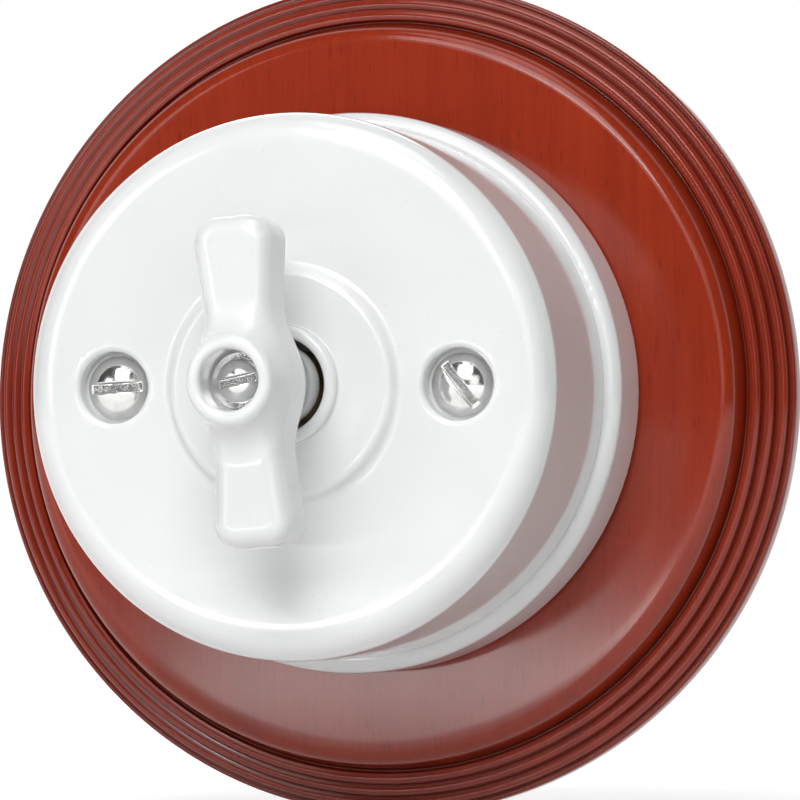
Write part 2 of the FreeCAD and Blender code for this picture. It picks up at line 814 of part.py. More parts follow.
def terminal(name, angle):
    """Block with a wire hole across it, a clamp screw from above and a fixing screw from below."""
    body = new_body(f"terminal_{name}", angle)
    inner = terminal_inside
    outer = terminal_outside
    half_width = dim.terminal_width / 2
    edge = dim.terminal_edge
    block = new_sketch(body, "block_outline", height=terminal_bottom)
    draw_outline(
        block,
        [
            (inner, -half_width),
            (outer - edge, -half_width, edge),
            (outer, edge - half_width),
            (outer, half_width - edge, edge),
            (outer - edge, half_width),
            (inner, half_width),
        ],
    )
    pad(body, "block", block, dim.terminal_height)
    wire = new_sketch(body, "wire_hole_outline", "XZ_Plane")
    draw_circle(
        wire, dim.terminal_wire_hole, across=terminal_radius, up=terminal_bottom + dim.terminal_wire_height
    )
    pocket(body, "wire_hole", wire, dim.terminal_width + 2 * CUT_MARGIN, both_ways=True)
    clamp = new_sketch(body, "clamp_bore_outline", height=terminal_top)
    draw_circle(clamp, clamp_screw_bore, across=terminal_radius)
    pocket(body, "clamp_bore", clamp, dim.terminal_height - dim.terminal_wire_height)
    fixing = new_sketch(body, "fixing_bore_outline", height=terminal_bottom)
    draw_circle(fixing, terminal_screw_bore, across=terminal_radius)
    pocket(body, "fixing_bore", fixing, dim.terminal_screw_reach, upwards=True)
    return body


def terminal_clamp_screws():
    screws = []
    wire_top = terminal_bottom + dim.terminal_wire_height + dim.terminal_wire_hole / 2
    for name, angle in TERMINAL_ANGLES.items():
        turn = math.radians(angle)
        screw = new_body(
            f"terminal_clamp_screw_{name}",
            angle,
            across=terminal_radius * math.cos(turn),
            up=terminal_radius * math.sin(turn),
        )
        slotted_screw(
            screw,
            terminal_top,
            terminal_top - wire_top,
            dim.clamp_screw_diameter,
            dim.clamp_head_diameter,
            dim.clamp_head_height,
            dim.clamp_head_rim,
            dim.clamp_slot_width,
            dim.clamp_slot_depth,
        )
        screws.append(screw)
    return group("terminal_clamp_screws", screws)


def terminal_fixing_screws():
    """Cheese-headed screws, put in from under the base."""
    screws = []
    seat = plinth_face + dim.terminal_recess_depth
    head_bottom = seat - dim.terminal_screw_head_height
    shank_top = terminal_bottom + dim.terminal_screw_reach
    shank = dim.terminal_screw_diameter / 2
    head = dim.terminal_screw_head_diameter / 2
    for name, angle in TERMINAL_ANGLES.items():
        turn = math.radians(angle)
        screw = new_body(
            f"terminal_fixing_screw_{name}",
            angle,
            across=terminal_radius * math.cos(turn),
            up=terminal_radius * math.sin(turn),
        )
        revolve(
            screw,
            "turned",
            [(0, head_bottom), (head, head_bottom), (head, seat), (shank, seat), (shank, shank_top), (0, shank_top)],
        )
        slot = new_sketch(screw, "slot_outline", height=head_bottom)
        half_slot = dim.terminal_screw_slot_width / 2
        draw_box(slot, -2 * head, -half_slot, 2 * head, half_slot)
        pocket(screw, "slot", slot, dim.terminal_screw_slot_depth, upwards=True)
        screws.append(screw)
    return group("terminal_fixing_screws", screws)


def contact_spring(name, angle):
    """Bent strip: foot under the terminal, upright leg, and a nose that bears on the drum."""
    body = new_body(f"contact_spring_{name}", angle)
    leg_in = spring_leg_inside
    leg_out = spring_leg_outside
    leg_top = base_floor + dim.spring_leg_height
    nose = contact_nose
    tip = nose + dim.spring_tip_flare
    thick = dim.spring_thickness
    strip = new_sketch(body, "strip_side", "XZ_Plane")
    draw_outline(
        strip,
        [
            (leg_in, base_floor),
            (terminal_outside, base_floor),
            (terminal_outside, base_floor + thick),
            (leg_out, base_floor + thick),
            (leg_out, leg_top),
            (nose + thick, bridge_middle),
            (tip + thick, bridge_middle + dim.spring_tip_rise),
            (tip, bridge_middle + dim.spring_tip_rise),
            (nose, bridge_middle),
            (leg_in, leg_top),
        ],
    )
    pad(body, "strip", strip, dim.spring_width, both_ways=True)
    hole = new_sketch(body, "screw_hole_outline", height=base_floor + thick)
    draw_circle(hole, terminal_screw_hole, across=terminal_radius)
    pocket(body, "screw_hole", hole, thick)
    return body


def detent_spring(side, name):
    """Straight strip that lies along the cam, with its ends in the base's lugs."""
    body = new_body(f"detent_spring_{name}")
    strip = new_sketch(body, "strip_plan", height=lug_middle - dim.detent_spring_width / 2)
    middle = side * detent_spring_middle
    half_thickness = dim.detent_spring_thickness / 2
    draw_box(strip, middle - half_thickness, -lug_end, middle + half_thickness, lug_end)
    pad(body, "strip", strip, dim.detent_spring_width)
    return body


# The rotor: everything that turns with the knob


def porcelain_knob():
    """Tapered hub with a socket for the spindle, a recess for its screw and two flared wings."""
    body = new_body("porcelain_knob")
    root = dim.hub_root_diameter / 2
    front = dim.hub_front_diameter / 2
    recess = dim.knob_recess_diameter / 2
    lip = dim.knob_recess_lip
    edge = dim.hub_edge_radius
    wings = new_sketch(body, "wing_outline", height=wing_back)
    wings.AttachmentOffset = FreeCAD.Placement(
        wings.AttachmentOffset.Base, FreeCAD.Rotation(SPINDLE_AXIS, dim.knob_lean.value)
    )
    wings.setExpression("AttachmentOffset.Rotation.Angle", dim.knob_lean.text)
    half_tip = dim.wing_tip_width / 2
    half_length = dim.knob_length / 2
    corner = dim.wing_corner_radius
    half_waist = dim.wing_waist_width / 2
    # The hollow side and the round corner touch on the line between their centres
    side_and_corner = dome_radius(half_length - corner, half_tip - half_waist)
    side_bend = side_and_corner - corner
    side_share = side_bend / side_and_corner
    touch_up = side_share * (half_length - corner)
    touch_across = half_waist + side_bend - side_share * (half_waist + side_bend + corner - half_tip)
    draw_outline(
        wings,
        [
            (touch_across, -touch_up, -side_bend),
            (touch_across, touch_up, corner),
            (half_tip - corner, half_length),
            (corner - half_tip, half_length, corner),
            (-touch_across, touch_up, -side_bend),
            (-touch_across, -touch_up, corner),
            (corner - half_tip, -half_length),
            (half_tip - corner, -half_length, corner),
        ],
    )
    pad(body, "wings", wings, dim.wing_thickness)
    round_edges(body, "wing_fronts", dim.wing_front_round, lambda edge: lies_at(edge, wing_front))
    round_edges(body, "wing_backs", dim.wing_back_round, lambda edge: lies_at(edge, wing_back))
    revolve(
        body,
        "hub",
        [
            (0, knob_bottom),
            (root, knob_bottom),
            (front, hub_front - edge, edge),
            (front - edge, hub_front),
            (0, hub_front),
        ],
    )
    taper = (root - front) / (hub_front - edge - knob_bottom)

    def meets_hub(edge):
        """Whether the whole edge lies on the hub's side, no further down or up than the wings reach."""
        for point in edge.discretize(EDGE_SAMPLES):
            radius = root - taper * (point.z - knob_bottom)
            if abs(math.hypot(point.x, point.y) - radius.value) > TOUCH_TOLERANCE:
                return False
            if not wing_back.value - TOUCH_TOLERANCE < point.z < wing_front.value + TOUCH_TOLERANCE:
                return False
        return True

    round_edges(body, "wing_blends", dim.wing_blend_radius, meets_hub)
    groove(
        body,
        "recess",
        [
            (0, knob_recess_floor),
            (recess, knob_recess_floor),
            (recess, hub_front - lip, -lip),
            (recess + lip, hub_front),
            (recess + lip, hub_front + CUT_MARGIN),
            (0, hub_front + CUT_MARGIN),
        ],
    )
    screw_hole = new_sketch(body, "screw_hole_outline", height=knob_recess_floor)
    draw_circle(screw_hole, knob_screw_hole)
    pocket(body, "screw_hole", screw_hole, knob_recess_floor - knob_bottom)
    socket = new_sketch(body, "socket_outline", height=knob_bottom)
    draw_square(socket, square_bore)
    pocket(body, "socket", socket, knob_socket_top - knob_bottom, upwards=True)
    return body


def knob_screw():
    screw = new_body("knob_screw", KNOB_SCREW_TURN)
    slotted_screw(
        screw,
        knob_screw_seat,
        dim.knob_screw_length,
        dim.knob_screw_diameter,
        dim.knob_screw_head_diameter,
        dim.knob_screw_head_height,
        dim.knob_screw_head_rim,
        dim.knob_screw_slot_width,
        dim.knob_screw_slot_depth,
    )
    return screw


def knob_washer():
    return washer(
        "knob_washer", dim.knob_washer_diameter, knob_screw_hole, knob_recess_floor, dim.knob_washer_thickness
    )


def spindle():
    """Turned bar: grooved journal and collar below, square above, tapped at its top."""
    body = new_body("spindle")
    journal = dim.journal_diameter / 2
    groove = dim.clip_groove_diameter / 2
    collar = dim.spindle_collar_diameter / 2
    revolve(
        body,
        "turned_end",
        [
            (0, spindle_bottom),
            (journal, spindle_bottom),
            (journal, clip_bottom),
            (groove, clip_bottom),
            (groove, clip_top),
            (journal, clip_top),
            (journal, collar_bottom),
            (collar, collar_bottom),
            (collar, cam_bottom),
            (0, cam_bottom),
        ],
    )
    square = new_sketch(body, "square_outline", height=cam_bottom)
    draw_square(square, dim.spindle_square)
    pad(body, "square", square, spindle_top - cam_bottom)
    bore = new_sketch(body, "bore_outline", height=spindle_top)
    draw_circle(bore, knob_screw_bore)
    pocket(body, "bore", bore, spindle_top - knob_screw_seat + dim.knob_screw_length + CUT_MARGIN)
    return body


def retaining_clip():
    """Flat ring in the spindle's groove, open on one side so that it can be pushed on."""
    body = new_body("retaining_clip")
    ring = new_sketch(body, "ring", height=clip_bottom)
    draw_ring(ring, dim.clip_diameter, dim.clip_groove_diameter)
    pad(body, "blank", ring, dim.clip_thickness)
    mouth = new_sketch(body, "mouth_outline", height=clip_top)
    draw_box(mouth, 0, -(dim.clip_mouth / 2), dim.clip_diameter, dim.clip_mouth / 2)
    pocket(body, "mouth", mouth, dim.clip_thickness)
    return body


def clip_washer():
    return washer(
        "clip_washer", dim.clip_washer_diameter, 2 * journal_bore_radius, clip_top, dim.clip_washer_thickness
    )


def thrust_washer():
    return washer(
        "thrust_washer",
        dim.thrust_washer_diameter,
        2 * journal_bore_radius,
        bush_flange_top,
        dim.thrust_washer_thickness,
    )


def detent_cam():
    """Square block with rounded corners, which the detent springs hold at each quarter turn."""
    body = new_body("detent_cam")
    half = dim.cam_width / 2
    corner = dim.cam_corner_radius
    outline = new_sketch(body, "cam_outline", height=cam_bottom)
    draw_outline(
        outline,
        [
            (half, corner - half),
            (half, half - corner, corner),
            (half - corner, half),
            (corner - half, half, corner),
            (-half, half - corner),
            (-half, corner - half, corner),
            (corner - half, -half),
            (half - corner, -half, corner),
        ],
    )
    pad(body, "block", outline, dim.cam_thickness)
    bore = new_sketch(body, "bore_outline", height=drum_bottom)
    draw_square(bore, square_bore)
    pocket(body, "bore", bore, dim.cam_thickness)
    return body


def draw_bridge(sketch, side):
    """Sector of the drum's skin, on its upper side or its lower one."""
    outer = dim.drum_diameter / 2
    inner = outer - dim.bridge_thickness
    across = sine(dim.bridge_half_span)
    up = cosine(dim.bridge_half_span)
    draw_outline(
        sketch,
        [
            (side * outer * across, side * outer * up, outer),
            (-side * outer * across, side * outer * up),
            (-side * inner * across, side * inner * up, -inner),
            (side * inner * across, side * inner * up),
        ],
    )


def contact_drum():
    """Ceramic cylinder on the spindle's square, with a seat for each contact bridge."""
    body = new_body("contact_drum")
    outline = new_sketch(body, "drum_outline", height=drum_bottom)
    draw_circle(outline, dim.drum_diameter)
    pad(body, "cylinder", outline, dim.drum_height)
    bore = new_sketch(body, "bore_outline", height=drum_top)
    draw_square(bore, square_bore)
    pocket(body, "bore", bore, dim.drum_height)
    for side, name in ((1, "upper"), (-1, "lower")):
        seat = new_sketch(body, f"{name}_seat_outline", height=bridge_middle + dim.bridge_width / 2)
        draw_bridge(seat, side)
        pocket(body, f"{name}_seat", seat, dim.bridge_width)
    return body


def contact_bridge(side, name):
    body = new_body(f"contact_bridge_{name}")
    sector = new_sketch(body, "sector", height=bridge_middle - dim.bridge_width / 2)
    draw_bridge(sector, side)
    pad(body, "strip", sector, dim.bridge_width)
    return body


def spacer_sleeve():
    """Tube that carries the knob's pull down to the drum."""
    inner = dim.sleeve_diameter - 2 * dim.sleeve_wall
    return washer("spacer_sleeve", dim.sleeve_diameter, inner, drum_top, knob_bottom - drum_top)


def build():
    pieces = [
        wooden_plinth(),
        porcelain_base(),
        porcelain_cover(),
        cover_screws(),
        cover_post(-1, "left"),
        cover_post(1, "right"),
        base_fixing_screws(),
        fixing_washers(),
        spindle_bush(),
        terminal_clamp_screws(),
        terminal_fixing_screws(),
        detent_spring(-1, "left"),
        detent_spring(1, "right"),
        porcelain_knob(),
        knob_screw(),
        knob_washer(),
        spindle(),
        retaining_clip(),
        clip_washer(),
        thrust_washer(),
        detent_cam(),
        contact_drum(),
        contact_bridge(1, "upper"),
        contact_bridge(-1, "lower"),
        spacer_sleeve(),
    ]
    for name, angle in TERMINAL_ANGLES.items():
        pieces.append(terminal(name, angle))
        pieces.append(contact_spring(name, angle))
    doc.recompute()
    return pieces


def check(pieces):
    """Stop if any object of the document failed or any piece is empty or broken."""
    for item in doc.Objects:
        if "Invalid" in item.State or "Error" in item.State:
            raise RuntimeError(f"{item.Label} failed: {item.State}")
    for piece in pieces:
        if piece.Shape.isNull() or not piece.Shape.isValid():
            raise RuntimeError(f"{piece.Label} has no valid shape")


pieces = build()
check(pieces)
os.makedirs("parts", exist_ok=True)
for piece in pieces:
    piece.Shape.exportStep(f"parts/{piece.Label}.step")
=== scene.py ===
import json
import math

import bmesh
import bpy
import numpy as np
import openvdb
from bpy.props import FloatProperty, FloatVectorProperty, PointerProperty
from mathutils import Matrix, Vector


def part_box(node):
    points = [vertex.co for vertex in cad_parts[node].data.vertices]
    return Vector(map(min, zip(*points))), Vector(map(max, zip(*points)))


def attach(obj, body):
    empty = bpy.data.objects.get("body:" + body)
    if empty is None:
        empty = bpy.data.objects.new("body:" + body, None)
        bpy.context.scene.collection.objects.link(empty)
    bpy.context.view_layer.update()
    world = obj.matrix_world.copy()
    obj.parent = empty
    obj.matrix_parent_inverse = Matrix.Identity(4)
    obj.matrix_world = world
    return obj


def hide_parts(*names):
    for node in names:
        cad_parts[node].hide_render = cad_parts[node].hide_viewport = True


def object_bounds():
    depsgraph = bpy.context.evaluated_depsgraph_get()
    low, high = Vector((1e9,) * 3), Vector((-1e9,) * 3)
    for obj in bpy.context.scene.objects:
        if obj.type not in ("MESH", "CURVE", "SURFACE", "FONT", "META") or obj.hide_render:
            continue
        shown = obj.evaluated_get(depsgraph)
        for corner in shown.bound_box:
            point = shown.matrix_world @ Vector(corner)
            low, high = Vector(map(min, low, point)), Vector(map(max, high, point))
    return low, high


bl_info = {
    "name": "Porcelain Rotary Switch",
    "version": (1, 0, 0),
    "blender": (4, 5, 0),
    "location": "View3D > Sidebar > Rotary Switch",
    "description": "Porcelain rotary light switch on a turned wooden plinth, dressed over its frame",
    "category": "Object",
}

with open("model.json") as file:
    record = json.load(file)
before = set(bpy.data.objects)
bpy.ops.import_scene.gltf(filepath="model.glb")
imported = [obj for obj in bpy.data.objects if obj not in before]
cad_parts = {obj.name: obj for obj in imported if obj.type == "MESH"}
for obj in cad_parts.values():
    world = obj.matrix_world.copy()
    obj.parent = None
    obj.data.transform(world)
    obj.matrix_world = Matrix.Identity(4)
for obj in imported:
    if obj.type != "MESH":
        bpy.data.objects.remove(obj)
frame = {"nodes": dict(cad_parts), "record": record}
CAD_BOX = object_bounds()

# The spindle lies along Y. A height is the distance from the wall, which is the plane y = 0.
MM = 0.001
ROUND_STEPS = 512
PLINTH_STEPS = 360
RECESS_STEPS = 128
HOLE_STEPS = 64
ARC_STEP = math.radians(6)
FLAT_ANGLE = math.radians(0.2)
COPY_SHARP = math.radians(28)
PIECE_SHARP = math.radians(40)
OVERCUT = 1.0 * MM
REEDS = 3
WHITE = (1.0, 1.0, 1.0, 1.0)


def height_span(node):
    """Lowest and highest height of a CAD node above the wall."""
    low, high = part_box(node)
    return -high.y, -low.y


def outer_radius(node):
    """Largest radius of a round CAD node about the spindle."""
    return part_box(node)[1].x


PLINTH_TOP = height_span("wooden_plinth")[1]
COVER_SEAT, BEAD_TOP = height_span("porcelain_cover")
BEAD_RISE = 1.1216 * MM
BOSS_FACE = BEAD_TOP - BEAD_RISE
KNOB_BOTTOM, HUB_FRONT = height_span("porcelain_knob")
KNOB_SCREW_TOP = height_span("knob_screw")[1]


def length(name, description, default):
    return FloatProperty(
        name=name, description=description, default=default, min=0.0, unit="LENGTH", precision=5
    )


def colour(name, description, default):
    return FloatVectorProperty(
        name=name,
        description=description,
        default=default,
        subtype="COLOR",
        size=3,
        min=0.0,
        max=1.0,
    )


def turn(name, description, degrees):
    return FloatProperty(name=name, description=description, default=math.radians(degrees), subtype="ANGLE")


class PlinthSizes(bpy.types.PropertyGroup):
    radius: length("Radius", "Radius of the plinth's rim", outer_radius("wooden_plinth"))
    thickness: length("Thickness", "From the wall to the plateau", PLINTH_TOP)
    rim_height: length("Rim height", "Height of the plain rim below the bead", 2.4 * MM)
    bead_width: length("Bead width", "Width of the bead between rim and reeds", 0.8 * MM)
    bead_rise: length("Bead rise", "Height of that bead", 0.6 * MM)
    back_chamfer: length("Back chamfer", "Bevel where the rim meets the wall", 0.8 * MM)
    reed_width: length("Reed width", "Width of one reed across the plinth", 1.43 * MM)
    reed_step: length("Reed step", "How far one reed rises above the next", 0.87 * MM)
    groove_width: length("Groove width", "Width of the groove inside the reeds", 0.4 * MM)
    groove_depth: length("Groove depth", "Depth of the groove below the top reed", 0.6 * MM)
    wall_lean: length("Wall lean", "How far the plateau's wall leans in", 0.9 * MM)
    shoulder: length("Shoulder", "Rounding of the plateau's edge", 2.0 * MM)
    opening: length("Cable opening", "Radius of the cable opening", 16.0 * MM)
    wall_hole: length("Wall hole", "Radius of the holes for the wall screws", 2.25 * MM)
    wall_head: length("Wall screw head", "Radius of the seats for the wall screws' heads", 4.3 * MM)
    wall_head_depth: length("Wall screw seat", "Depth of those seats", 2.6 * MM)
    wall_hole_offset: length("Wall hole offset", "Distance of the wall holes from the spindle", 26.0 * MM)


class CoverSizes(bpy.types.PropertyGroup):
    radius: length("Radius", "Outer radius of the cover", outer_radius("porcelain_cover"))
    wall: length("Wall", "Thickness of the cover's side", 3.6 * MM)
    top_wall: length("Top wall", "Thickness of the cover's face", 5.0 * MM)
    rim: length("Rim", "Rounding of the cover's front edge", 3.5 * MM)
    boss_radius: length("Boss radius", "Radius of the foot of the raised centre", 14.2 * MM)
    boss_step: length("Boss step", "Width of the step up to the raised centre", 1.8 * MM)
    boss_rise: length("Boss rise", "Height of the raised centre", 1.3 * MM)
    opening: length("Spindle opening", "Radius of the opening round the knob's hub", 5.45 * MM)
    bead: length("Opening bead", "Width of the bead round that opening", 1.5 * MM)
    screw_offset: length("Screw offset", "Distance of the cover screws from the spindle", 20.5 * MM)
    recess: length("Recess", "Radius of the recesses for the screws", 4.1 * MM)
    recess_depth: length("Recess depth", "Depth of those recesses", 2.6 * MM)
    recess_lip: length("Recess lip", "Rounding of the recesses' edges", 0.8 * MM)
    screw_hole: length("Screw hole", "Radius of the screw holes below the recesses", 2.2 * MM)


class KnobSizes(bpy.types.PropertyGroup):
    length: length("Length", "From wing tip to wing tip", 37.0 * MM)
    lean: turn("Lean", "Turn of the wings from upright", 4.5)
    hub_root: length("Hub root", "Radius of the hub at the cover", 4.6 * MM)
    hub_front: length("Hub front", "Radius of the hub at its front", 5.0 * MM)
    hub_edge: length("Hub edge", "Rounding of the hub's front edge", 0.9 * MM)
    wing_back: length("Wing back", "Height of the back of the wings", BOSS_FACE + 7.0 * MM)
    wing_front: length("Wing front", "Height of the front of the wings", BOSS_FACE + 14.5 * MM)
    tip_width: length("Tip width", "Width of a wing near its tip", 9.2 * MM)
    waist_width: length("Waist width", "Width of the wings at the hub", 7.4 * MM)
    corner: length("Corner", "Rounding of the wing tips' corners", 3.0 * MM)
    front_round: length("Front rounding", "Rounding of the wings' front edges", 2.2 * MM)
    back_round: length("Back rounding", "Rounding of the wings' back edges", 1.2 * MM)
    blend: length("Blend", "Softness of the joint between hub and wings", 2.0 * MM)
    recess: length("Recess", "Radius of the screw's recess", 3.4 * MM)
    recess_depth: length("Recess depth", "Depth of the screw's recess", 4.6 * MM)
    socket: length("Socket", "Width of the square socket for the spindle", 4.6 * MM)
    web: length("Web", "Thickness between the recess and the socket", 1.8 * MM)
    screw_hole: length("Screw hole", "Radius of the hole for the knob screw", 1.7 * MM)


class ScrewSizes(bpy.types.PropertyGroup):
    cover_head: length("Cover screw head", "Radius of a cover screw's head", 3.6 * MM)
    cover_head_height: length("Cover head height", "Height of a cover screw's head", 2.4 * MM)
    cover_head_rim: length("Cover head rim", "Height of the straight side of that head", 0.7 * MM)
    cover_shank: length("Cover screw shank", "Radius of a cover screw's shank", 1.95 * MM)
    cover_length: length("Cover screw length", "Length of a cover screw's shank", 12.0 * MM)
    cover_slot: length("Cover screw slot", "Width of a cover screw's slot", 1.1 * MM)
    cover_slot_depth: length("Cover slot depth", "Depth of that slot", 1.2 * MM)
    left_turn: turn("Left slot", "Turn of the left cover screw's slot from level", 3.0)
    right_turn: turn("Right slot", "Turn of the right cover screw's slot from level", -52.0)
    knob_head: length("Knob screw head", "Radius of the knob screw's head", 2.4 * MM)
    knob_head_height: length("Knob head height", "Height of the knob screw's head", 1.8 * MM)
    knob_head_rim: length("Knob head rim", "Height of the straight side of that head", 0.8 * MM)
    knob_shank: length("Knob screw shank", "Radius of the knob screw's shank", 1.45 * MM)
    knob_length: length("Knob screw length", "Length of the knob screw's shank", 10.0 * MM)
    knob_slot: length("Knob screw slot", "Width of the knob screw's slot", 1.0 * MM)
    knob_slot_depth: length("Knob slot depth", "Depth of that slot", 1.0 * MM)
    knob_turn: turn("Knob screw slot turn", "Turn of the knob screw's slot from level", 12.0)


class FinishColours(bpy.types.PropertyGroup):
    glaze: colour("Glaze", "White porcelain glaze", (0.83, 0.84, 0.84))
    stain_light: colour("Light stain", "Wood stain between the grain lines", (0.365, 0.035, 0.009))
    # The dark stain is also the colour of the painted shade on the plinth's reeds and in its hollows.
    dark_stain_and_shade: colour("Dark stain", "Wood stain in the grain lines and hollows", (0.16, 0.011, 0.003))
    nickel: colour("Nickel", "Plated screws", (0.75, 0.75, 0.74))
    brass: colour("Brass", "Terminals, posts and bush", (0.72, 0.52, 0.24))
    bronze: colour("Spring bronze", "Contact springs and bridges", (0.66, 0.40, 0.22))
    steel: colour("Steel", "Spindle, cam and wood screws", (0.50, 0.50, 0.50))
    steatite: colour("Bare ceramic", "Contact drum", (0.80, 0.77, 0.70))
    fibre: colour("Fibre", "Insulating washers", (0.30, 0.10, 0.06))
    floor: colour("Floor", "Studio floor", (0.85, 0.85, 0.85))


class StageSizes(bpy.types.PropertyGroup):
    azimuth: turn("Azimuth", "Turn of the camera to the right of the spindle", 17.83)
    elevation: turn("Elevation", "Camera above the spindle", -1.91)
    distance: length("Distance", "From the camera to the spindle in front of the cover", 0.6622)
    pivot: length("Pivot", "Height of the point that the camera turns about", 26.7 * MM)
    lens: FloatProperty(name="Lens", description="Focal length of the camera", default=257.3, unit="CAMERA")
    aim: FloatVectorProperty(
        name="Aim",
        description="Point that the camera looks at",
        default=(0.0010, -0.0017, -0.00037),
        subtype="TRANSLATION",
        precision=5,
    )


class SwitchSettings(bpy.types.PropertyGroup):
    plinth: PointerProperty(type=PlinthSizes)
    cover: PointerProperty(type=CoverSizes)
    knob: PointerProperty(type=KnobSizes)
    screws: PointerProperty(type=ScrewSizes)
    finish: PointerProperty(type=FinishColours)
    stage: PointerProperty(type=StageSizes)


# Meshes


def rounded_profile(corners, step, closed=True):
    """A profile of (radius, height) points from corners (radius, height, rounding).

    Each corner is swapped for the arc of its rounding that touches both sides that meet there, and the
    straight runs between the arcs are cut into steps no longer than step.
    """
    points = np.array([corner[:2] for corner in corners])
    back = np.roll(points, 1, axis=0) - points
    ahead = np.roll(points, -1, axis=0) - points
    back /= np.linalg.norm(back, axis=1, keepdims=True)
    ahead /= np.linalg.norm(ahead, axis=1, keepdims=True)
    half = np.arccos(np.clip((back * ahead).sum(axis=1), -1.0, 1.0)) / 2
    arcs = []
    for place, (point, towards, away, angle) in enumerate(zip(points, back, ahead, half)):
        rounding = corners[place][2]
        if rounding == 0.0:
            arcs.append(point[None])
            continue
        reach = rounding / math.tan(angle)
        middle = towards + away
        centre = point + middle / np.linalg.norm(middle) * rounding / math.sin(angle)
        sweep = math.pi - 2 * angle
        share = np.linspace(0.0, 1.0, max(4, math.ceil(sweep / ARC_STEP) + 1))[:, None]
        first = point + towards * reach - centre
        last = point + away * reach - centre
        turned = np.sin((1 - share) * sweep) * first + np.sin(share * sweep) * last
        arcs.append(centre + turned / math.sin(sweep))
    runs = []
    for place, arc in enumerate(arcs):
        runs.append(arc)
        if place == len(arcs) - 1 and not closed:
            break
        start, end = arc[-1], arcs[(place + 1) % len(arcs)][0]
        cuts = math.ceil(np.linalg.norm(end - start) / step)
        runs.append(start + (end - start) * (np.arange(1, max(cuts, 1)) / max(cuts, 1))[:, None])
    return np.concatenate(runs)


def spun(profile, across=0.0, steps=ROUND_STEPS, closed=True):
    """Vertices and faces of a profile carried round an axis along Y, across from the spindle.

    A point at turn t of a profile point (r, h) is (across + r cos t, -h, r sin t).
    """
    angle = np.linspace(0.0, 2 * math.pi, steps, endpoint=False)
    radius, height = profile[:, :1], profile[:, 1:]
    depth = np.broadcast_to(-height, (len(profile), steps))
    points = np.stack([across + radius * np.cos(angle), depth, radius * np.sin(angle)], axis=-1)
    rows = np.arange(len(profile) if closed else len(profile) - 1)[:, None]
    next_rows = (rows + 1) % len(profile)
    columns = np.arange(steps)[None]
    next_columns = (columns + 1) % steps
    faces = np.stack(
        [
            rows * steps + columns,
            rows * steps + next_columns,
            next_rows * steps + next_columns,
            next_rows * steps + columns,
        ],
        axis=-1,
    )
    return points.reshape(-1, 3), faces.reshape(-1, 4)


def outward(points, faces):
    """The faces turned so that the volume they enclose, the sum of their corner pyramids, is positive."""
    corners = points[faces]
    volume = 0.0
    for second in range(1, faces.shape[1] - 1):
        cross = np.cross(corners[:, second], corners[:, second + 1])
        volume += (corners[:, 0] * cross).sum()
    return faces if volume > 0 else faces[:, ::-1]


def weld(mesh, distance, flat=None):
    """Merge points closer than the distance and, given an angle, join faces that lie flatter than it."""
    shape = bmesh.new()
    shape.from_mesh(mesh)
    bmesh.ops.remove_doubles(shape, verts=shape.verts, dist=distance)
    if flat is not None:
        bmesh.ops.dissolve_limit(shape, angle_limit=flat, verts=shape.verts, edges=shape.edges)
    shape.to_mesh(mesh)
    shape.free()


def new_mesh(name, points, faces):
    """A closed mesh with outward faces, its doubled points merged."""
    mesh = bpy.data.meshes.new(name)
    mesh.from_pydata(points, [], outward(points, faces), shade_flat=False)
    weld(mesh, 1e-7)
    return mesh


def add_object(name, mesh):
    piece = bpy.data.objects.new(name, mesh)
    bpy.context.scene.collection.objects.link(piece)
    return piece


def cut_away(piece, cutters):
    """Take each cutter mesh out of the piece."""
    for number, mesh in enumerate(cutters):
        cutter = add_object(f"{piece.name}_cutter_{number}", mesh)
        modifier = piece.modifiers.new("cut", "BOOLEAN")
        modifier.object = cutter
        modifier.solver = "EXACT"
        bpy.context.view_layer.update()
        evaluated = piece.evaluated_get(bpy.context.evaluated_depsgraph_get())
        cut = bpy.data.meshes.new_from_object(evaluated)
        piece.modifiers.clear()
        piece.data = cut
        cut.name = piece.name
        bpy.data.objects.remove(cutter)


def shade(mesh, sharp):
    """Smooth shading that keeps edges sharper than the angle."""
    mesh.shade_smooth()
    mesh.set_sharp_from_angle(angle=sharp)


def settle(piece, material, body, slot, *nodes):
    """Give the piece its material, let it ride on its body and stand for its CAD nodes."""
    piece.data.materials.clear()
    piece.data.materials.append(material)
    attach(piece, body)
    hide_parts(*nodes)


def merged_copy(node):
    """A copy of a CAD node with its triangles merged, its flats made whole and its soft edges smooth."""
    mesh = frame["nodes"][node].data.copy()
    mesh.name = node
    weld(mesh, 1e-6, FLAT_ANGLE)
    shade(mesh, COPY_SHARP)
    piece = add_object(f"{node}_piece", mesh)
    weighted = piece.modifiers.new("weighted_normals", "WEIGHTED_NORMAL")
    weighted.keep_sharp = True
    weighted.weight = 100
    return piece


# Distance fields: negative inside, in metres, over whole arrays of x, up and height


def smooth_union(first, second, reach):
    """The nearer of two fields, with a fillet about as wide as reach where they meet."""
    share = np.clip(0.5 + 0.5 * (second - first) / reach, 0.0, 1.0)
    return second + (first - second) * share - reach * share * (1 - share)


def smooth_cut(field, cutter, reach):
    """The field with the cutter taken away, its new edge rounded by about reach."""
    return -smooth_union(-field, cutter, reach)


def rounded_pair(across, along, rounding):
    """Distance to where both across and along are negative, with the edge between them rounded."""
    across = across + rounding
    along = along + rounding
    outside = np.hypot(np.maximum(across, 0.0), np.maximum(along, 0.0))
    return outside + np.minimum(np.maximum(across, along), 0.0) - rounding


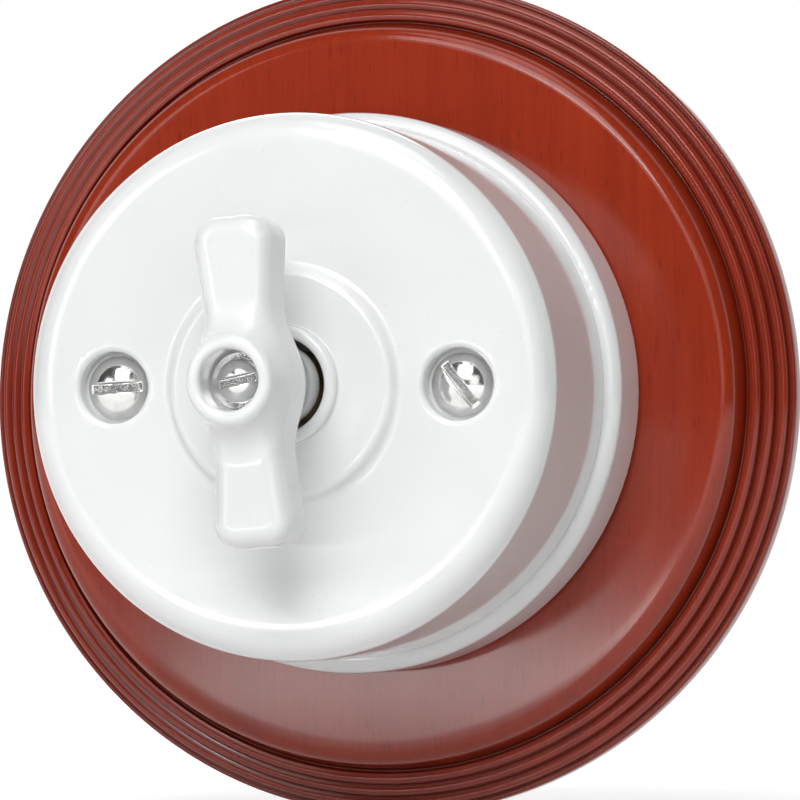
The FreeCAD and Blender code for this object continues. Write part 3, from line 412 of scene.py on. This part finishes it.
def field_mesh(name, field, low, high, cell):
    """Mesh of the zero surface of field(x, up, height) in a box, on a grid of cubic cells.

    Each vertex takes its normal from the field's slope there.
    """
    border = 2
    low = np.array(low) - border * cell
    counts = [math.ceil((high[axis] - low[axis]) / cell) + border + 1 for axis in range(3)]
    axes = [start + cell * np.arange(count) for start, count in zip(low, counts)]
    x, up, height = np.meshgrid(*axes, indexing="ij")
    grid = openvdb.FloatGrid(1.0)
    grid.copyFromArray((field(x, up, height) / cell).astype(np.float32))
    points, quads = grid.convertToQuads(0.0)
    points = low + cell * points.astype(float)
    step = 0.2 * cell
    slope = np.stack(
        [field(*(points + step * axis).T) - field(*(points - step * axis).T) for axis in np.eye(3)],
        axis=-1,
    )
    slope /= np.linalg.norm(slope, axis=1, keepdims=True)
    place = np.stack([points[:, 0], -points[:, 2], points[:, 1]], axis=-1)
    normals = np.stack([slope[:, 0], -slope[:, 2], slope[:, 1]], axis=-1)
    mesh = bpy.data.meshes.new(name)
    mesh.from_pydata(place, [], outward(place, quads.astype(int)), shade_flat=False)
    mesh.normals_split_custom_set_from_vertices(normals)
    return mesh


# Materials

# Where most values of a noise lie
NOISE_BODY = (0.3, 0.7)

# Sockets of a colour mix node
MIX_SHARE, MIX_FIRST, MIX_SECOND, MIX_RESULT = 0, 6, 7, 2


def new_material(name):
    material = bpy.data.materials.new(name)
    material.use_nodes = True
    return material


def add_node(owner, kind, inputs=None, **settings):
    """A node of a material or world with its settings, its sockets set or fed from other sockets."""
    node = owner.node_tree.nodes.new(kind)
    for name, value in settings.items():
        setattr(node, name, value)
    for socket, value in (inputs or {}).items():
        if isinstance(value, bpy.types.NodeSocket):
            owner.node_tree.links.new(value, node.inputs[socket])
        else:
            node.inputs[socket].default_value = value
    return node


def maths(owner, operation, first, second):
    return add_node(owner, "ShaderNodeMath", {0: first, 1: second}, operation=operation).outputs["Value"]


def shader_of(material):
    return material.node_tree.nodes["Principled BSDF"]


def feed(material, socket, output):
    """Link an output to a socket of the material's shader."""
    material.node_tree.links.new(output, shader_of(material).inputs[socket])


def object_place(material, scale=(1.0, 1.0, 1.0)):
    """The place on the piece in its own metres, stretched along its axes."""
    place = add_node(material, "ShaderNodeTexCoord")
    return add_node(
        material, "ShaderNodeMapping", {"Vector": place.outputs["Object"], "Scale": scale}
    ).outputs["Vector"]


def noise(material, place, scale, detail=3.0, roughness=0.5):
    return add_node(
        material,
        "ShaderNodeTexNoise",
        {"Vector": place, "Scale": scale, "Detail": detail, "Roughness": roughness},
    ).outputs["Fac"]


def spread(owner, value, low, high, to_low=0.0, to_high=1.0):
    """Carry a value from one range to another, held at its ends."""
    return add_node(
        owner,
        "ShaderNodeMapRange",
        {"Value": value, "From Min": low, "From Max": high, "To Min": to_low, "To Max": to_high},
    ).outputs["Result"]


def mixed(material, share, first, second):
    """A colour part way from the first to the second."""
    inputs = {MIX_SHARE: share, MIX_FIRST: first, MIX_SECOND: second}
    return add_node(material, "ShaderNodeMix", inputs, data_type="RGBA").outputs[MIX_RESULT]


def distance_out(material, place):
    """How far a place lies from the origin."""
    return add_node(material, "ShaderNodeVectorMath", {0: place}, operation="LENGTH").outputs["Value"]


def opaque(rgb, brightness=1.0):
    return (rgb[0] * brightness, rgb[1] * brightness, rgb[2] * brightness, 1.0)


def bump(material, height, distance, strength=1.0, under=None):
    inputs = {"Height": height, "Distance": distance, "Strength": strength}
    if under is not None:
        inputs["Normal"] = under
    return add_node(material, "ShaderNodeBump", inputs).outputs["Normal"]


def glazed_porcelain(finish):
    """White glaze: broad cloudy tone, a few faint specks, and a skin that ripples very slightly."""
    material = new_material("glazed_porcelain")
    place = object_place(material)
    cloud = spread(material, noise(material, place, 55.0, 2.0), 0.35, 0.65)
    tone = mixed(material, cloud, opaque(finish.glaze, 0.975), opaque(finish.glaze, 1.01))
    specks = add_node(
        material,
        "ShaderNodeTexVoronoi",
        {"Vector": place, "Scale": 420.0, "Randomness": 1.0},
        feature="F1",
    )
    speck = spread(material, specks.outputs["Distance"], 0.035, 0.06, 0.35, 0.0)
    feed(material, "Base Color", mixed(material, speck, tone, opaque(finish.glaze, 0.72)))
    gloss = noise(material, place, 160.0)
    feed(material, "Roughness", spread(material, gloss, *NOISE_BODY, 0.09, 0.15))
    ripple = noise(material, place, 210.0, 1.5)
    skin = noise(material, place, 1500.0, 2.0)
    wavy = bump(material, ripple, 0.06 * MM, 0.35)
    feed(material, "Normal", bump(material, skin, 0.008 * MM, 0.25, wavy))
    shader = shader_of(material)
    shader.inputs["IOR"].default_value = 1.52
    shader.inputs["Coat Weight"].default_value = 0.3
    shader.inputs["Coat Roughness"].default_value = 0.04
    return material


def lacquered_wood(finish):
    """Reddish stain under gloss lacquer: upright grain and short dark pores, with painted shade darkening
    the reeded edge and the hollows.
    """
    material = new_material("lacquered_wood")
    waver = noise(material, object_place(material, (1.0, 1.0, 0.25)), 60.0, 2.0)
    sway = 1.6 * MM
    shift = add_node(material, "ShaderNodeCombineXYZ", {"X": spread(material, waver, 0.0, 1.0, -sway, sway)})
    bent = add_node(
        material,
        "ShaderNodeVectorMath",
        {0: object_place(material), 1: shift.outputs["Vector"]},
        operation="ADD",
    ).outputs["Vector"]

    def along_grain(stretch):
        inputs = {"Vector": bent, "Scale": (1.0, 1.0, stretch)}
        return add_node(material, "ShaderNodeMapping", inputs).outputs["Vector"]

    bands = noise(material, along_grain(0.09), 240.0, 4.0, 0.6)
    fibres = noise(material, along_grain(0.03), 1900.0, 3.0, 0.6)
    grain = maths(
        material,
        "ADD",
        spread(material, bands, 0.2, 0.8, 0.1, 0.6),
        spread(material, fibres, 0.2, 0.8, 0.0, 0.4),
    )
    stain_and_painted_shade = mixed(material, grain, opaque(finish.dark_stain_and_shade, 1.25), opaque(finish.stain_light))
    pores = noise(material, along_grain(0.11), 3400.0, 1.0)
    pore = spread(material, pores, 0.62, 0.74, 0.0, 0.3)
    stain_and_painted_shade = mixed(material, pore, stain_and_painted_shade, opaque(finish.dark_stain_and_shade, 0.55))
    # Painted shade: from 43 mm out, the reeds are darkened towards the dark stain because they lie in less
    # light.
    outwards = distance_out(material, object_place(material, (1.0, 0.0, 1.0)))
    edge = spread(material, outwards, 43.0 * MM, 45.0 * MM, 0.0, 0.25)
    stain_and_painted_shade = mixed(material, edge, stain_and_painted_shade, opaque(finish.dark_stain_and_shade))
    # Painted shade in the creases: the hollow attribute darkens the wood between the reeds and in the
    # groove.
    hollow = add_node(material, "ShaderNodeAttribute", attribute_name="hollow").outputs["Fac"]
    shadow = spread(material, hollow, 0.0, 1.0, 0.0, 0.75)
    stain_and_painted_shade = mixed(material, shadow, stain_and_painted_shade, opaque(finish.dark_stain_and_shade, 0.6))
    feed(material, "Base Color", stain_and_painted_shade)
    feed(material, "Roughness", spread(material, fibres, *NOISE_BODY, 0.34, 0.46))
    feed(material, "Normal", bump(material, grain, 0.12 * MM, 0.25))
    skin = noise(material, object_place(material, (1.0, 1.0, 0.4)), 700.0, 2.0)
    feed(material, "Coat Normal", bump(material, skin, 0.02 * MM, 0.12))
    shader = shader_of(material)
    shader.inputs["Specular IOR Level"].default_value = 0.03
    shader.inputs["Coat Weight"].default_value = 0.9
    shader.inputs["Coat Roughness"].default_value = 0.12
    shader.inputs["Coat IOR"].default_value = 1.45
    return material


def plated_metal(name, rgb, smooth, rough):
    """Polished metal with faint uneven tone and fine handling marks."""
    material = new_material(name)
    place = object_place(material)
    tone = spread(material, noise(material, place, 900.0), *NOISE_BODY)
    feed(material, "Base Color", mixed(material, tone, opaque(rgb, 0.86), opaque(rgb)))
    marks = noise(material, object_place(material, (1.0, 0.3, 1.0)), 5200.0, 2.0)
    feed(material, "Roughness", spread(material, marks, *NOISE_BODY, smooth, rough))
    feed(material, "Normal", bump(material, marks, 0.006 * MM, 0.4))
    shader_of(material).inputs["Metallic"].default_value = 1.0
    return material


def matt_solid(name, rgb, rough):
    """Dull body with mottled tone and a fine tooth."""
    material = new_material(name)
    place = object_place(material)
    tone = spread(material, noise(material, place, 700.0), *NOISE_BODY)
    feed(material, "Base Color", mixed(material, tone, opaque(rgb, 0.85), opaque(rgb)))
    tooth = noise(material, place, 5000.0, 2.0)
    feed(material, "Normal", bump(material, tooth, 0.02 * MM, 0.5))
    shader_of(material).inputs["Roughness"].default_value = rough
    return material


def material_for(slot):
    """The material of a record slot, made once."""
    found = bpy.data.materials.get(slot)
    if found is not None and found.get("finished"):
        return found
    finish = bpy.context.scene.rotary_switch.finish
    makers = {
        "glazed_porcelain": lambda: glazed_porcelain(finish),
        "lacquered_wood": lambda: lacquered_wood(finish),
        "nickel_plate": lambda: plated_metal("nickel_plate", finish.nickel, 0.10, 0.22),
        "brass": lambda: plated_metal("brass", finish.brass, 0.24, 0.38),
        "spring_bronze": lambda: plated_metal("spring_bronze", finish.bronze, 0.24, 0.38),
        "steel": lambda: plated_metal("steel", finish.steel, 0.28, 0.42),
        "bare_ceramic": lambda: matt_solid("bare_ceramic", finish.steatite, 0.6),
        "fibre": lambda: matt_solid("fibre", finish.fibre, 0.75),
    }
    if found is not None:
        found.name = f"{slot}_plain"
    material = makers[slot]()
    material["finished"] = True
    return material


# Pieces


def plinth_profile(sizes):
    """Closed outline of the plinth and the depth of shade at each of its points.

    The bead and each reed are half sine waves that swell over their chord by the share bulge of it. The
    shade is a bell curve of the distance from the nearest hollow: the inner corners between reeds, and the
    groove.
    """
    bulge = 0.36
    wave_steps = 16
    opening_edge = 0.4 * MM
    back_edge = 0.3 * MM
    groove_edge = 0.25 * MM
    groove_corner = 0.2 * MM
    shade_reach = 0.55 * MM
    share = np.linspace(0.0, 1.0, wave_steps, endpoint=False)[1:]
    corners = [
        (sizes.opening, 0.0, opening_edge),
        (sizes.radius - sizes.back_chamfer, 0.0, back_edge),
        (sizes.radius, sizes.back_chamfer, back_edge),
    ]
    rim = np.array([sizes.radius, sizes.rim_height])
    bead = np.array([-sizes.bead_width, sizes.bead_rise])
    chord = np.array([-sizes.reed_width, sizes.reed_step])
    starts = [rim] + [rim + bead + reed * chord for reed in range(REEDS + 1)]
    reed_end = starts[-1]
    hollows = starts[1:-1]
    for start, end in zip(starts, starts[1:]):
        across, up = end - start
        swell = np.array([up, -across]) * bulge
        corners.append((*start, 0.0))
        wave = start + share[:, None] * (end - start) + np.sin(math.pi * share)[:, None] * swell
        corners += [(*point, 0.0) for point in wave]
    groove_floor = reed_end[1] - sizes.groove_depth
    wall_foot = reed_end[0] - sizes.groove_width
    shoulder = wall_foot - sizes.wall_lean
    hollows += [np.array([reed_end[0], groove_floor]), np.array([wall_foot, groove_floor])]
    corners += [
        (*reed_end, groove_edge),
        (reed_end[0], groove_floor, groove_corner),
        (wall_foot, groove_floor, groove_edge),
        (shoulder, sizes.thickness, sizes.shoulder),
        (sizes.opening, sizes.thickness, opening_edge),
    ]
    profile = rounded_profile(corners, 1.2 * MM)
    distance = np.linalg.norm(profile[:, None] - np.array(hollows)[None], axis=-1).min(axis=1)
    return profile, np.exp(-((distance / shade_reach) ** 2))


def pin_profile(radius, low, high):
    """Outline of a plain cylinder, from its axis at the bottom to its axis at the top."""
    corners = [(0.0, low, 0.0), (radius, low, 0.0), (radius, high, 0.0), (0.0, high, 0.0)]
    return rounded_profile(corners, 2.0 * MM, closed=False)


class SWITCH_OT_plinth(bpy.types.Operator):
    """Turn the wooden plinth with its reeds, cable opening and wall holes"""

    bl_idname = "rotary_switch.plinth"
    bl_label = "Wooden Plinth"

    def execute(self, context):
        sizes = context.scene.rotary_switch.plinth
        profile, shade_depth = plinth_profile(sizes)
        mesh = new_mesh("wooden_plinth", *spun(profile, steps=PLINTH_STEPS))
        # The hollow attribute holds the depth of painted shade that the wood's colour is darkened by.
        hollow = mesh.attributes.new("hollow", "FLOAT", "POINT")
        hollow.data.foreach_set("value", np.repeat(shade_depth, PLINTH_STEPS))
        piece = add_object("turned_plinth", mesh)
        overlap = 0.2 * MM
        seat = sizes.thickness - sizes.wall_head_depth
        hole = pin_profile(sizes.wall_hole, -OVERCUT, seat + overlap)
        head = pin_profile(sizes.wall_head, seat, sizes.thickness + OVERCUT)
        cutters = [
            new_mesh("wall_hole", *spun(outline, side * sizes.wall_hole_offset, HOLE_STEPS, closed=False))
            for side in (-1, 1)
            for outline in (hole, head)
        ]
        cut_away(piece, cutters)
        shade(piece.data, PIECE_SHARP)
        settle(piece, material_for("lacquered_wood"), "housing", "lacquered_wood", "wooden_plinth")
        return {"FINISHED"}


class SWITCH_OT_base(bpy.types.Operator):
    """Dress the porcelain base with its smooth glazed edge"""

    bl_idname = "rotary_switch.base"
    bl_label = "Porcelain Base"

    def execute(self, context):
        piece = merged_copy("porcelain_base")
        settle(piece, material_for("glazed_porcelain"), "housing", "glazed_porcelain", "porcelain_base")
        return {"FINISHED"}


class SWITCH_OT_cover(bpy.types.Operator):
    """Press the porcelain cover with its soft rim, raised centre and screw recesses"""

    bl_idname = "rotary_switch.cover"
    bl_label = "Porcelain Cover"

    def execute(self, context):
        sizes = context.scene.rotary_switch.cover
        face = BOSS_FACE - sizes.boss_rise
        ceiling = face - sizes.top_wall
        inside = sizes.radius - sizes.wall
        slope = sizes.boss_step / 4
        boss_round = 1.1 * MM
        bead_round = 0.48 * sizes.bead
        profile = rounded_profile(
            [
                (inside, COVER_SEAT, 0.2 * MM),
                (sizes.radius, COVER_SEAT, 0.35 * MM),
                (sizes.radius, face, sizes.rim),
                (sizes.boss_radius - slope, face, boss_round),
                (sizes.boss_radius - sizes.boss_step + slope, BOSS_FACE, boss_round),
                (sizes.opening + sizes.bead, BOSS_FACE, 0.25 * MM),
                (sizes.opening + sizes.bead, BEAD_TOP, bead_round),
                (sizes.opening, BEAD_TOP, bead_round),
                (sizes.opening, ceiling, 0.3 * MM),
                (inside, ceiling, 2.0 * MM),
            ],
            0.9 * MM,
        )
        piece = add_object("pressed_cover", new_mesh("porcelain_cover", *spun(profile)))
        seat = face - sizes.recess_depth
        lip_top = face + 0.02 * MM
        lip_end = sizes.recess + 1.2 * sizes.recess_lip
        below = ceiling - OVERCUT
        above = face + 2 * OVERCUT
        recess = rounded_profile(
            [
                (0.0, below, 0.0),
                (sizes.screw_hole, below, 0.0),
                (sizes.screw_hole, seat, 0.0),
                (sizes.recess, seat, 0.3 * MM),
                (sizes.recess, lip_top, sizes.recess_lip),
                (lip_end, lip_top, 0.0),
                (lip_end, above, 0.0),
                (0.0, above, 0.0),
            ],
            0.8 * MM,
            closed=False,
        )
        cutters = [
            new_mesh("screw_recess", *spun(recess, side * sizes.screw_offset, RECESS_STEPS, closed=False))
            for side in (-1, 1)
        ]
        cut_away(piece, cutters)
        shade(piece.data, PIECE_SHARP)
        settle(piece, material_for("glazed_porcelain"), "housing", "glazed_porcelain", "porcelain_cover")
        return {"FINISHED"}


SCREW_PARTS = ("head", "head_height", "head_rim", "shank", "length", "slot", "slot_depth")


def slotted_screw(name, mesh_name, sizes, kind, seat, across, slot_turn, cell):
    """A domed screw: a ball and a cylinder overlap in the head, and a bar is cut from it for the slot.

    The names of its sizes start with kind, and its mesh comes from a grid of cubic cells.
    """
    head, head_height, head_rim, shank, shank_length, slot, slot_depth = (
        getattr(sizes, f"{kind}_{part}") for part in SCREW_PARTS
    )
    head_edge = 0.12 * MM
    dome_edge = 0.25 * MM
    slot_corner = 0.1 * MM
    slot_lip = 0.22 * MM
    shank_end = 0.2 * MM
    rise = head_height - head_rim
    ball = (head * head + rise * rise) / (2 * rise)
    top = seat + head_height

    def field(x, up, height):
        x = x - across
        radius = np.hypot(x, up)
        side = rounded_pair(radius - head, seat - height, head_edge)
        dome = np.hypot(radius, height - (top - ball)) - ball
        cap = -smooth_union(-side, -dome, dome_edge)
        level = x * math.sin(slot_turn) - up * math.cos(slot_turn)
        bar = rounded_pair(np.abs(level) - slot / 2, top - slot_depth - height, slot_corner)
        cap = smooth_cut(cap, bar, slot_lip)
        half_shank = shank_length / 2
        past_end = np.abs(height - seat + half_shank) - half_shank - shank_end
        stem = rounded_pair(radius - shank, past_end, shank_end)
        return np.minimum(cap, stem)

    low = (across - head, -head, seat - shank_length)
    high = (across + head, head, seat + head_height)
    return add_object(name, field_mesh(mesh_name, field, low, high, cell))


class SWITCH_OT_cover_screws(bpy.types.Operator):
    """Make the two slotted cover screws"""

    bl_idname = "rotary_switch.cover_screws"
    bl_label = "Cover Screws"

    def execute(self, context):
        sizes = context.scene.rotary_switch.screws
        cover = context.scene.rotary_switch.cover
        seat = BOSS_FACE - cover.boss_rise - cover.recess_depth
        cell = 0.11 * MM
        for side, word, slot_turn in ((-1, "left", sizes.left_turn), (1, "right", sizes.right_turn)):
            name = f"cover_screw_{word}"
            across = side * cover.screw_offset
            piece = slotted_screw(name, name, sizes, "cover", seat, across, slot_turn, cell)
            settle(piece, material_for("nickel_plate"), "housing", "nickel_plate", "cover_screws")
        return {"FINISHED"}


class SWITCH_OT_knob(bpy.types.Operator):
    """Press the porcelain knob: a tapered hub with two flared wings"""

    bl_idname = "rotary_switch.knob"
    bl_label = "Porcelain Knob"

    def execute(self, context):
        sizes = context.scene.rotary_switch.knob
        middle = (sizes.wing_back + sizes.wing_front) / 2
        half_depth = (sizes.wing_front - sizes.wing_back) / 2
        half_length = sizes.length / 2
        hub_middle = (KNOB_BOTTOM + HUB_FRONT) / 2
        hub_half = (HUB_FRONT - KNOB_BOTTOM) / 2
        recess_floor = HUB_FRONT - sizes.recess_depth
        socket_top = recess_floor - sizes.web
        joint_reach = 2.4 * sizes.blend
        recess_corner = 0.3 * MM
        recess_lip = 0.9 * MM
        cell = 0.17 * MM

        def field(x, up, height):
            """Hub, a cone with a rounded edge, joined by a fillet to a bar whose sides curve out to its
            ends; the recess, the screw hole and the square socket are taken away."""
            radius = np.hypot(x, up)
            taper = (height - KNOB_BOTTOM) / (HUB_FRONT - KNOB_BOTTOM)
            hub_radius = sizes.hub_root + (sizes.hub_front - sizes.hub_root) * taper
            hub = rounded_pair(radius - hub_radius, np.abs(height - hub_middle) - hub_half, sizes.hub_edge)
            across = x * math.cos(sizes.lean) + up * math.sin(sizes.lean)
            along = up * math.cos(sizes.lean) - x * math.sin(sizes.lean)
            flare = np.minimum(np.abs(along) / (half_length - sizes.corner), 1.0) ** 2
            half_width = (sizes.waist_width + (sizes.tip_width - sizes.waist_width) * flare) / 2
            outline = rounded_pair(np.abs(across) - half_width, np.abs(along) - half_length, sizes.corner)
            rounding = np.where(height > middle, sizes.front_round, sizes.back_round)
            wings = rounded_pair(outline, np.abs(height - middle) - half_depth, rounding)
            whole = smooth_union(hub, wings, joint_reach)
            recess = rounded_pair(radius - sizes.recess, recess_floor - height, recess_corner)
            whole = smooth_cut(whole, recess, recess_lip)
            hole = radius - sizes.screw_hole
            square = np.maximum(np.abs(x), np.abs(up)) - sizes.socket / 2
            socket = np.maximum(square, height - socket_top)
            return np.maximum(whole, -np.minimum(hole, socket))

        reach = half_length + sizes.tip_width / 2 * math.sin(sizes.lean)
        wide = sizes.tip_width / 2 + half_length * math.sin(sizes.lean)
        low = (-wide, -reach, KNOB_BOTTOM)
        high = (wide, reach, HUB_FRONT)
        piece = add_object("pressed_knob", field_mesh("porcelain_knob", field, low, high, cell))
        settle(piece, material_for("glazed_porcelain"), "rotor", "glazed_porcelain", "porcelain_knob")
        return {"FINISHED"}


class SWITCH_OT_knob_screw(bpy.types.Operator):
    """Make the slotted knob screw"""

    bl_idname = "rotary_switch.knob_screw"
    bl_label = "Knob Screw"

    def execute(self, context):
        sizes = context.scene.rotary_switch.screws
        seat = KNOB_SCREW_TOP - sizes.knob_head_height
        cell = 0.1 * MM
        piece = slotted_screw(
            "knob_screw_piece", "knob_screw", sizes, "knob", seat, 0.0, sizes.knob_turn, cell
        )
        settle(piece, material_for("nickel_plate"), "rotor", "nickel_plate", "knob_screw")
        return {"FINISHED"}


class SWITCH_OT_works(bpy.types.Operator):
    """Dress the contacts, terminals, spindle, detent and fixings inside the switch"""

    bl_idname = "rotary_switch.works"
    bl_label = "Inner Works"

    def execute(self, context):
        done = {
            "wooden_plinth",
            "porcelain_base",
            "porcelain_cover",
            "cover_screws",
            "porcelain_knob",
            "knob_screw",
        }
        bodies = frame["record"]["behaviour"]["bodies"]
        slots = {part["node"]: part["material_slot"] for part in frame["record"]["subparts"]}
        for body, nodes in bodies.items():
            for node in nodes:
                if node not in done:
                    piece = merged_copy(node)
                    settle(piece, material_for(slots[node]), body, slots[node], node)
        return {"FINISHED"}


# Lamps that face the front of the switch: name, place, width, height, and power in watts
LAMPS = (
    ("upper_softbox", (0.05, -1.01, 0.5), 0.7, 0.5, 2.1),
    ("bright_strip", (0.08, -0.93, 0.46), 0.45, 0.09, 1.5),
    ("high_softbox", (0.05, -0.84, 0.78), 0.7, 0.5, 4.4),
    ("right_softbox", (0.6, -1.0, 0.25), 0.5, 0.5, 1.0),
    ("left_softbox", (-0.65, -0.95, 0.25), 0.4, 0.5, 1.5),
    ("overhead_softbox", (0.1, -0.3, 1.1), 0.6, 0.6, 2.4),
    ("back_softbox", (-0.3, 1.0, 0.6), 0.6, 0.6, 2.5),
)
LAMP_TARGET = (0.0, -0.03, 0.0)
ROOM_STRENGTH = 0.08


def area_light(name, place, target, width, height, power):
    """A soft rectangular lamp that faces the target."""
    lamp = bpy.data.lights.new(name, "AREA")
    lamp.shape = "RECTANGLE"
    lamp.size = width
    lamp.size_y = height
    lamp.energy = power
    stand = bpy.data.objects.new(name, lamp)
    bpy.context.scene.collection.objects.link(stand)
    stand.location = place
    stand.rotation_mode = "QUATERNION"
    stand.rotation_quaternion = (Vector(target) - Vector(place)).to_track_quat("-Z", "Y")


def seen_rays(owner):
    """Two outputs: 1 for rays from the camera, and 1 for rays in reflections or through clear things."""
    rays = add_node(owner, "ShaderNodeLightPath").outputs
    return rays["Is Camera Ray"], maths(owner, "MAXIMUM", rays["Is Glossy Ray"], rays["Is Transmission Ray"])


class SWITCH_OT_stage(bpy.types.Operator):
    """Set the pale floor, the studio light and the camera"""

    bl_idname = "rotary_switch.stage"
    bl_label = "Studio"

    def execute(self, context):
        scene = context.scene
        settings = scene.rotary_switch
        self.lay_floor(settings.finish)
        self.light_studio(scene)
        self.place_camera(scene, settings.stage)
        scene.view_settings.view_transform = "Standard"
        return {"FINISHED"}

    def lay_floor(self, finish):
        """A wide flat sheet that the plinth's rim touches."""
        half = 3.0
        level = CAD_BOX[0].z
        mesh = bpy.data.meshes.new("studio_floor")
        corners = [(-half, -half, level), (half, -half, level), (half, half, level), (-half, half, level)]
        mesh.from_pydata(corners, [], [(0, 1, 2, 3)])
        floor = add_object("studio_floor", mesh)
        material = new_material("studio_floor")
        place = object_place(material)
        mottle = noise(material, place, 30.0)
        tone = mixed(material, mottle, opaque(finish.floor, 0.99), opaque(finish.floor, 1.01))
        feed(material, "Base Color", tone)
        lift = spread(material, distance_out(material, place), 0.1, 0.6, 0.55, 0.95)
        seen = maths(material, "MAXIMUM", *seen_rays(material))
        feed(material, "Emission Strength", maths(material, "MULTIPLY", seen, lift))
        shader = shader_of(material)
        shader.inputs["Emission Color"].default_value = WHITE
        shader.inputs["Roughness"].default_value = 0.8
        mesh.materials.append(material)

    def light_studio(self, scene):
        """A white backdrop behind the switch, a dim room round it, and soft lamps."""
        world = bpy.data.worlds.new("studio")
        scene.world = world
        world.use_nodes = True
        world.node_tree.nodes.clear()
        room = add_node(world, "ShaderNodeBackground", {"Color": WHITE, "Strength": ROOM_STRENGTH})
        backdrop = add_node(world, "ShaderNodeBackground", {"Color": WHITE, "Strength": 1.0})
        direction = add_node(world, "ShaderNodeTexCoord").outputs["Generated"]
        behind = add_node(world, "ShaderNodeSeparateXYZ", {"Vector": direction}).outputs["Y"]
        camera, reflected = seen_rays(world)
        mirrored = maths(world, "MULTIPLY", reflected, spread(world, behind, 0.15, 0.5))
        shown = maths(world, "MAXIMUM", camera, mirrored)
        choice = add_node(
            world,
            "ShaderNodeMixShader",
            {0: shown, 1: room.outputs["Background"], 2: backdrop.outputs["Background"]},
        )
        add_node(world, "ShaderNodeOutputWorld", {"Surface": choice.outputs["Shader"]})
        for name, place, *shape_and_power in LAMPS:
            area_light(name, place, LAMP_TARGET, *shape_and_power)
        area_light("low_strip", (-0.15, -0.575, -0.054), (-0.05, 0.0, -0.054), 0.14, 0.036, 0.2)

    def place_camera(self, scene, stage):
        """A long lens at the right of the spindle, aimed at the plinth's middle."""
        back = Vector(
            (
                math.sin(stage.azimuth) * math.cos(stage.elevation),
                -math.cos(stage.azimuth) * math.cos(stage.elevation),
                math.sin(stage.elevation),
            )
        )
        view = bpy.data.cameras.new("front_camera")
        view.lens = stage.lens
        view.sensor_width = 36.0
        view.clip_start = 0.01
        view.clip_end = 20.0
        camera = bpy.data.objects.new("front_camera", view)
        scene.collection.objects.link(camera)
        camera.location = Vector((0.0, -stage.pivot, 0.0)) + back * stage.distance
        camera.rotation_mode = "QUATERNION"
        camera.rotation_quaternion = (Vector(stage.aim) - camera.location).to_track_quat("-Z", "Y")
        scene.camera = camera


class SWITCH_PT_panel(bpy.types.Panel):
    bl_idname = "SWITCH_PT_panel"
    bl_label = "Rotary Switch"
    bl_space_type = "VIEW_3D"
    bl_region_type = "UI"
    bl_category = "Rotary Switch"

    def draw(self, context):
        settings = context.scene.rotary_switch
        for group in settings.__annotations__:
            part = getattr(settings, group)
            box = self.layout.box()
            for name in part.__annotations__:
                box.prop(part, name)
        for operator in OPERATORS:
            self.layout.operator(operator.bl_idname)


GROUPS = (PlinthSizes, CoverSizes, KnobSizes, ScrewSizes, FinishColours, StageSizes, SwitchSettings)
OPERATORS = (
    SWITCH_OT_plinth,
    SWITCH_OT_base,
    SWITCH_OT_cover,
    SWITCH_OT_cover_screws,
    SWITCH_OT_knob,
    SWITCH_OT_knob_screw,
    SWITCH_OT_works,
    SWITCH_OT_stage,
)


def register():
    for group in GROUPS:
        bpy.utils.register_class(group)
    for operator in OPERATORS:
        bpy.utils.register_class(operator)
    bpy.utils.register_class(SWITCH_PT_panel)
    bpy.types.Scene.rotary_switch = PointerProperty(type=SwitchSettings)


def unregister():
    del bpy.types.Scene.rotary_switch
    bpy.utils.unregister_class(SWITCH_PT_panel)
    for operator in reversed(OPERATORS):
        bpy.utils.unregister_class(operator)
    for group in reversed(GROUPS):
        bpy.utils.unregister_class(group)


def main():
    register()
    steps = bpy.ops.rotary_switch
    steps.plinth()
    steps.base()
    steps.cover()
    steps.cover_screws()
    steps.knob()
    steps.knob_screw()
    steps.works()
    steps.stage()


if __name__ == "__main__":
    main()
